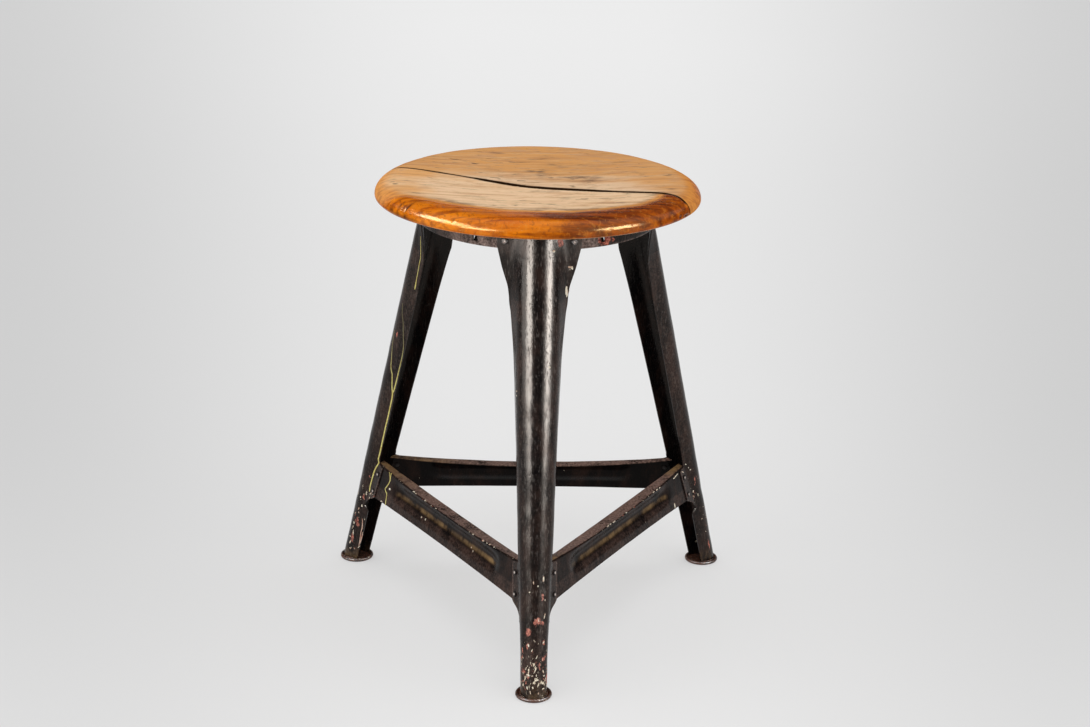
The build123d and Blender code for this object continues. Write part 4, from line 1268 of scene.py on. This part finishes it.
def photo_camera():
    """Camera at the viewing angle: 19 degrees above the floor, 2.5 m away, slightly off the front leg."""
    elevation, roll, yaw = radians(18.868), radians(1.124), radians(1.441)
    distance, target = 2.4829, (0.01123, 0, 0.28502)
    image_width, focal_pixels, sensor = 1090, 2254.07, 36.0
    place = Matrix.Rotation(-yaw, 4, "Z") @ Matrix.Translation(target)
    place @= Matrix.Rotation(pi / 2 - elevation, 4, "X") @ Matrix.Rotation(roll, 4, "Z")
    camera = bpy.data.objects.new("camera", bpy.data.cameras.new("camera"))
    camera.data.sensor_width = sensor
    camera.data.lens = focal_pixels / image_width * sensor
    camera.matrix_world = place @ Matrix.Translation((0, 0, distance))
    bpy.context.scene.collection.objects.link(camera)
    bpy.context.scene.camera = camera


def softbox(name, azimuth, elevation, distance, width, height, radiance, aim_height=0.28, gloss_on=()):
    """Large soft lamp; azimuth 0 is in front of the stool and 90 on its right.

    One with gloss_on is only mirrored, and only by those pieces.
    """
    a, e = radians(azimuth), radians(elevation)
    light = bpy.data.lights.new(name, "AREA")
    light.shape = "RECTANGLE"
    light.size, light.size_y = width, height
    light.energy = radiance * pi * width * height
    lamp = bpy.data.objects.new(name, light)
    direction = Vector((sin(a) * cos(e), -cos(a) * cos(e), sin(e)))
    lamp.location = Vector((0, 0, aim_height)) + direction * distance
    lamp.rotation_mode = "QUATERNION"
    lamp.rotation_quaternion = direction.to_track_quat("Z", "Y")
    lamp.visible_camera = False
    if gloss_on:
        lamp.visible_diffuse = False
        lamp.light_linking.receiver_collection = bpy.data.collections.new(name + "_mirrors")
        for piece in gloss_on:
            lamp.light_linking.receiver_collection.objects.link(piece)
    bpy.context.scene.collection.objects.link(lamp)


def floor_piece():
    """Wide seamless studio floor, pale to the camera and in reflections, that keeps the soft shadow, with
    painted light falloff: lighter far behind the stool, darker towards the sides.
    """
    n = Nodes("studio_floor")
    cloud = n.noise(n.place, 1.2, 3.0, 0.5)
    x, y, _ = n.axes()
    # painted light falloff: darker in a fan spreading from a point 2.4 m in front of the stool, lighter far
    # behind it
    falloff_fan = n.math("ABSOLUTE", n.math("DIVIDE", x, n.most(y + 2.4, 0.3)) - 0.015)
    side = n.ramp(falloff_fan, 0.03, 0.27) * n.ramp(y, -1.6, 0.6)
    color = n.layers(
        n.mix(n.ramp(y, 0.5, 4.0), (0.83, 0.83, 0.83), (0.925, 0.925, 0.925)),
        (side * 0.55, (0.49, 0.49, 0.49)),
        (cloud * 0.05, (0.6, 0.6, 0.6)),
    )
    n.finish(color, 0.7, n.bumps((n.noise(n.place, 300.0, 2.0, 0.5), 0.04, 0.0003)), IOR=1.2)
    seen = n.add("ShaderNodeLightPath").outputs
    straight = n.most(seen["Is Camera Ray"], n.most(seen["Is Glossy Ray"], seen["Is Transmission Ray"]))
    glow = n.add("ShaderNodeEmission", {"Color": color, "Strength": 1.0})
    shown = n.add("ShaderNodeMixShader", {0: straight * 0.5, 1: n.shader.outputs[0], 2: glow.outputs[0]})
    n.feed(n.tree.nodes["Material Output"].inputs["Surface"], shown.outputs[0])
    rings = [0.0, 0.4, 1.0, 2.0, 4.0, 8.0, 16.0, 30.0]
    points, faces = revolved([(r * 1000, 0.0) for r in rings] + [(30001.0, -1.0), (0.0, -1.0)], 64)
    add_mesh("floor", (points * MM).tolist(), faces, n.material)


def flag_piece(name, azimuth, distance, half_width, top, low=0.02):
    """Dark studio flag for the glossy enamel to mirror; it casts no shadow."""
    rows = [(z, u * half_width) for z in (low, (low + top) / 2, top) for u in (-1, -0.5, 0, 0.5, 1)]
    n = Nodes(name + "_cloth")
    cloth = n.finish(n.mix(n.noise(n.place, 40.0), (0.01, 0.01, 0.01), (0.016, 0.016, 0.016)), 0.9)
    flag = add_mesh(name, [(x, 0.12 * x**2, z) for z, x in rows], grid_faces(3, 5), cloth)
    a = radians(azimuth)
    flag.location = (sin(a) * distance, -cos(a) * distance, 0)
    flag.rotation_euler = (0, 0, a)
    flag.visible_camera = flag.visible_shadow = flag.visible_diffuse = False


def studio_world():
    """Pale even room light."""
    world = bpy.data.worlds.new("studio")
    world.use_nodes = True
    background = world.node_tree.nodes["Background"]
    background.inputs["Color"].default_value = (1.0, 1.0, 1.0, 1.0)
    background.inputs["Strength"].default_value = 0.76
    bpy.context.scene.world = world


photo_camera()
floor_piece()
flag_piece("flag_front", -1, 3.3, 1.5, 2.6)
flag_piece("flag_left", -122, 2.7, 1.5, 1.5)
flag_piece("flag_right", 118, 2.7, 1.5, 1.5)
flag_piece("flag_back", 180, 3.0, 2.6, 4.2, 0.9)
studio_world()
metal = [piece for piece in PIECES if not piece.name.startswith(("seat", "stretcher", "paint"))]
front_board = [piece for piece in PIECES if piece.name.startswith("seat_board_front")]
softbox("softbox_left", -57, 14, 1.8, 2.1, 1.15, 1.0)
softbox("softbox_right", 50, 14, 1.8, 1.75, 1.15, 0.8)
softbox("gloss_left", -57, 16, 1.79, 1.75, 1.15, 7.5, gloss_on=metal)
softbox("gloss_left_core", -43, 0, 1.76, 0.78, 0.96, 49.0, 0.84, metal)
softbox("gloss_right", 51, 16, 1.79, 1.45, 1.15, 6.0, gloss_on=metal)
softbox("gloss_right_core", 50, 0, 1.76, 0.7, 0.98, 68.0, 0.83, metal)
softbox("rim_left", -44, 29, 1.75, 0.62, 0.46, 40.0, 0.48, front_board)
softbox("rim_left_high", -80, 40, 1.75, 1.1, 0.6, 32.0, 0.48, front_board)
softbox("rim_right", 61, 33, 1.75, 0.72, 0.55, 44.0, 0.48, front_board)
softbox("softbox_top", 0, 80, 4.6, 7.0, 7.0, 0.4)
bpy.context.scene.view_settings.view_transform = "Standard"
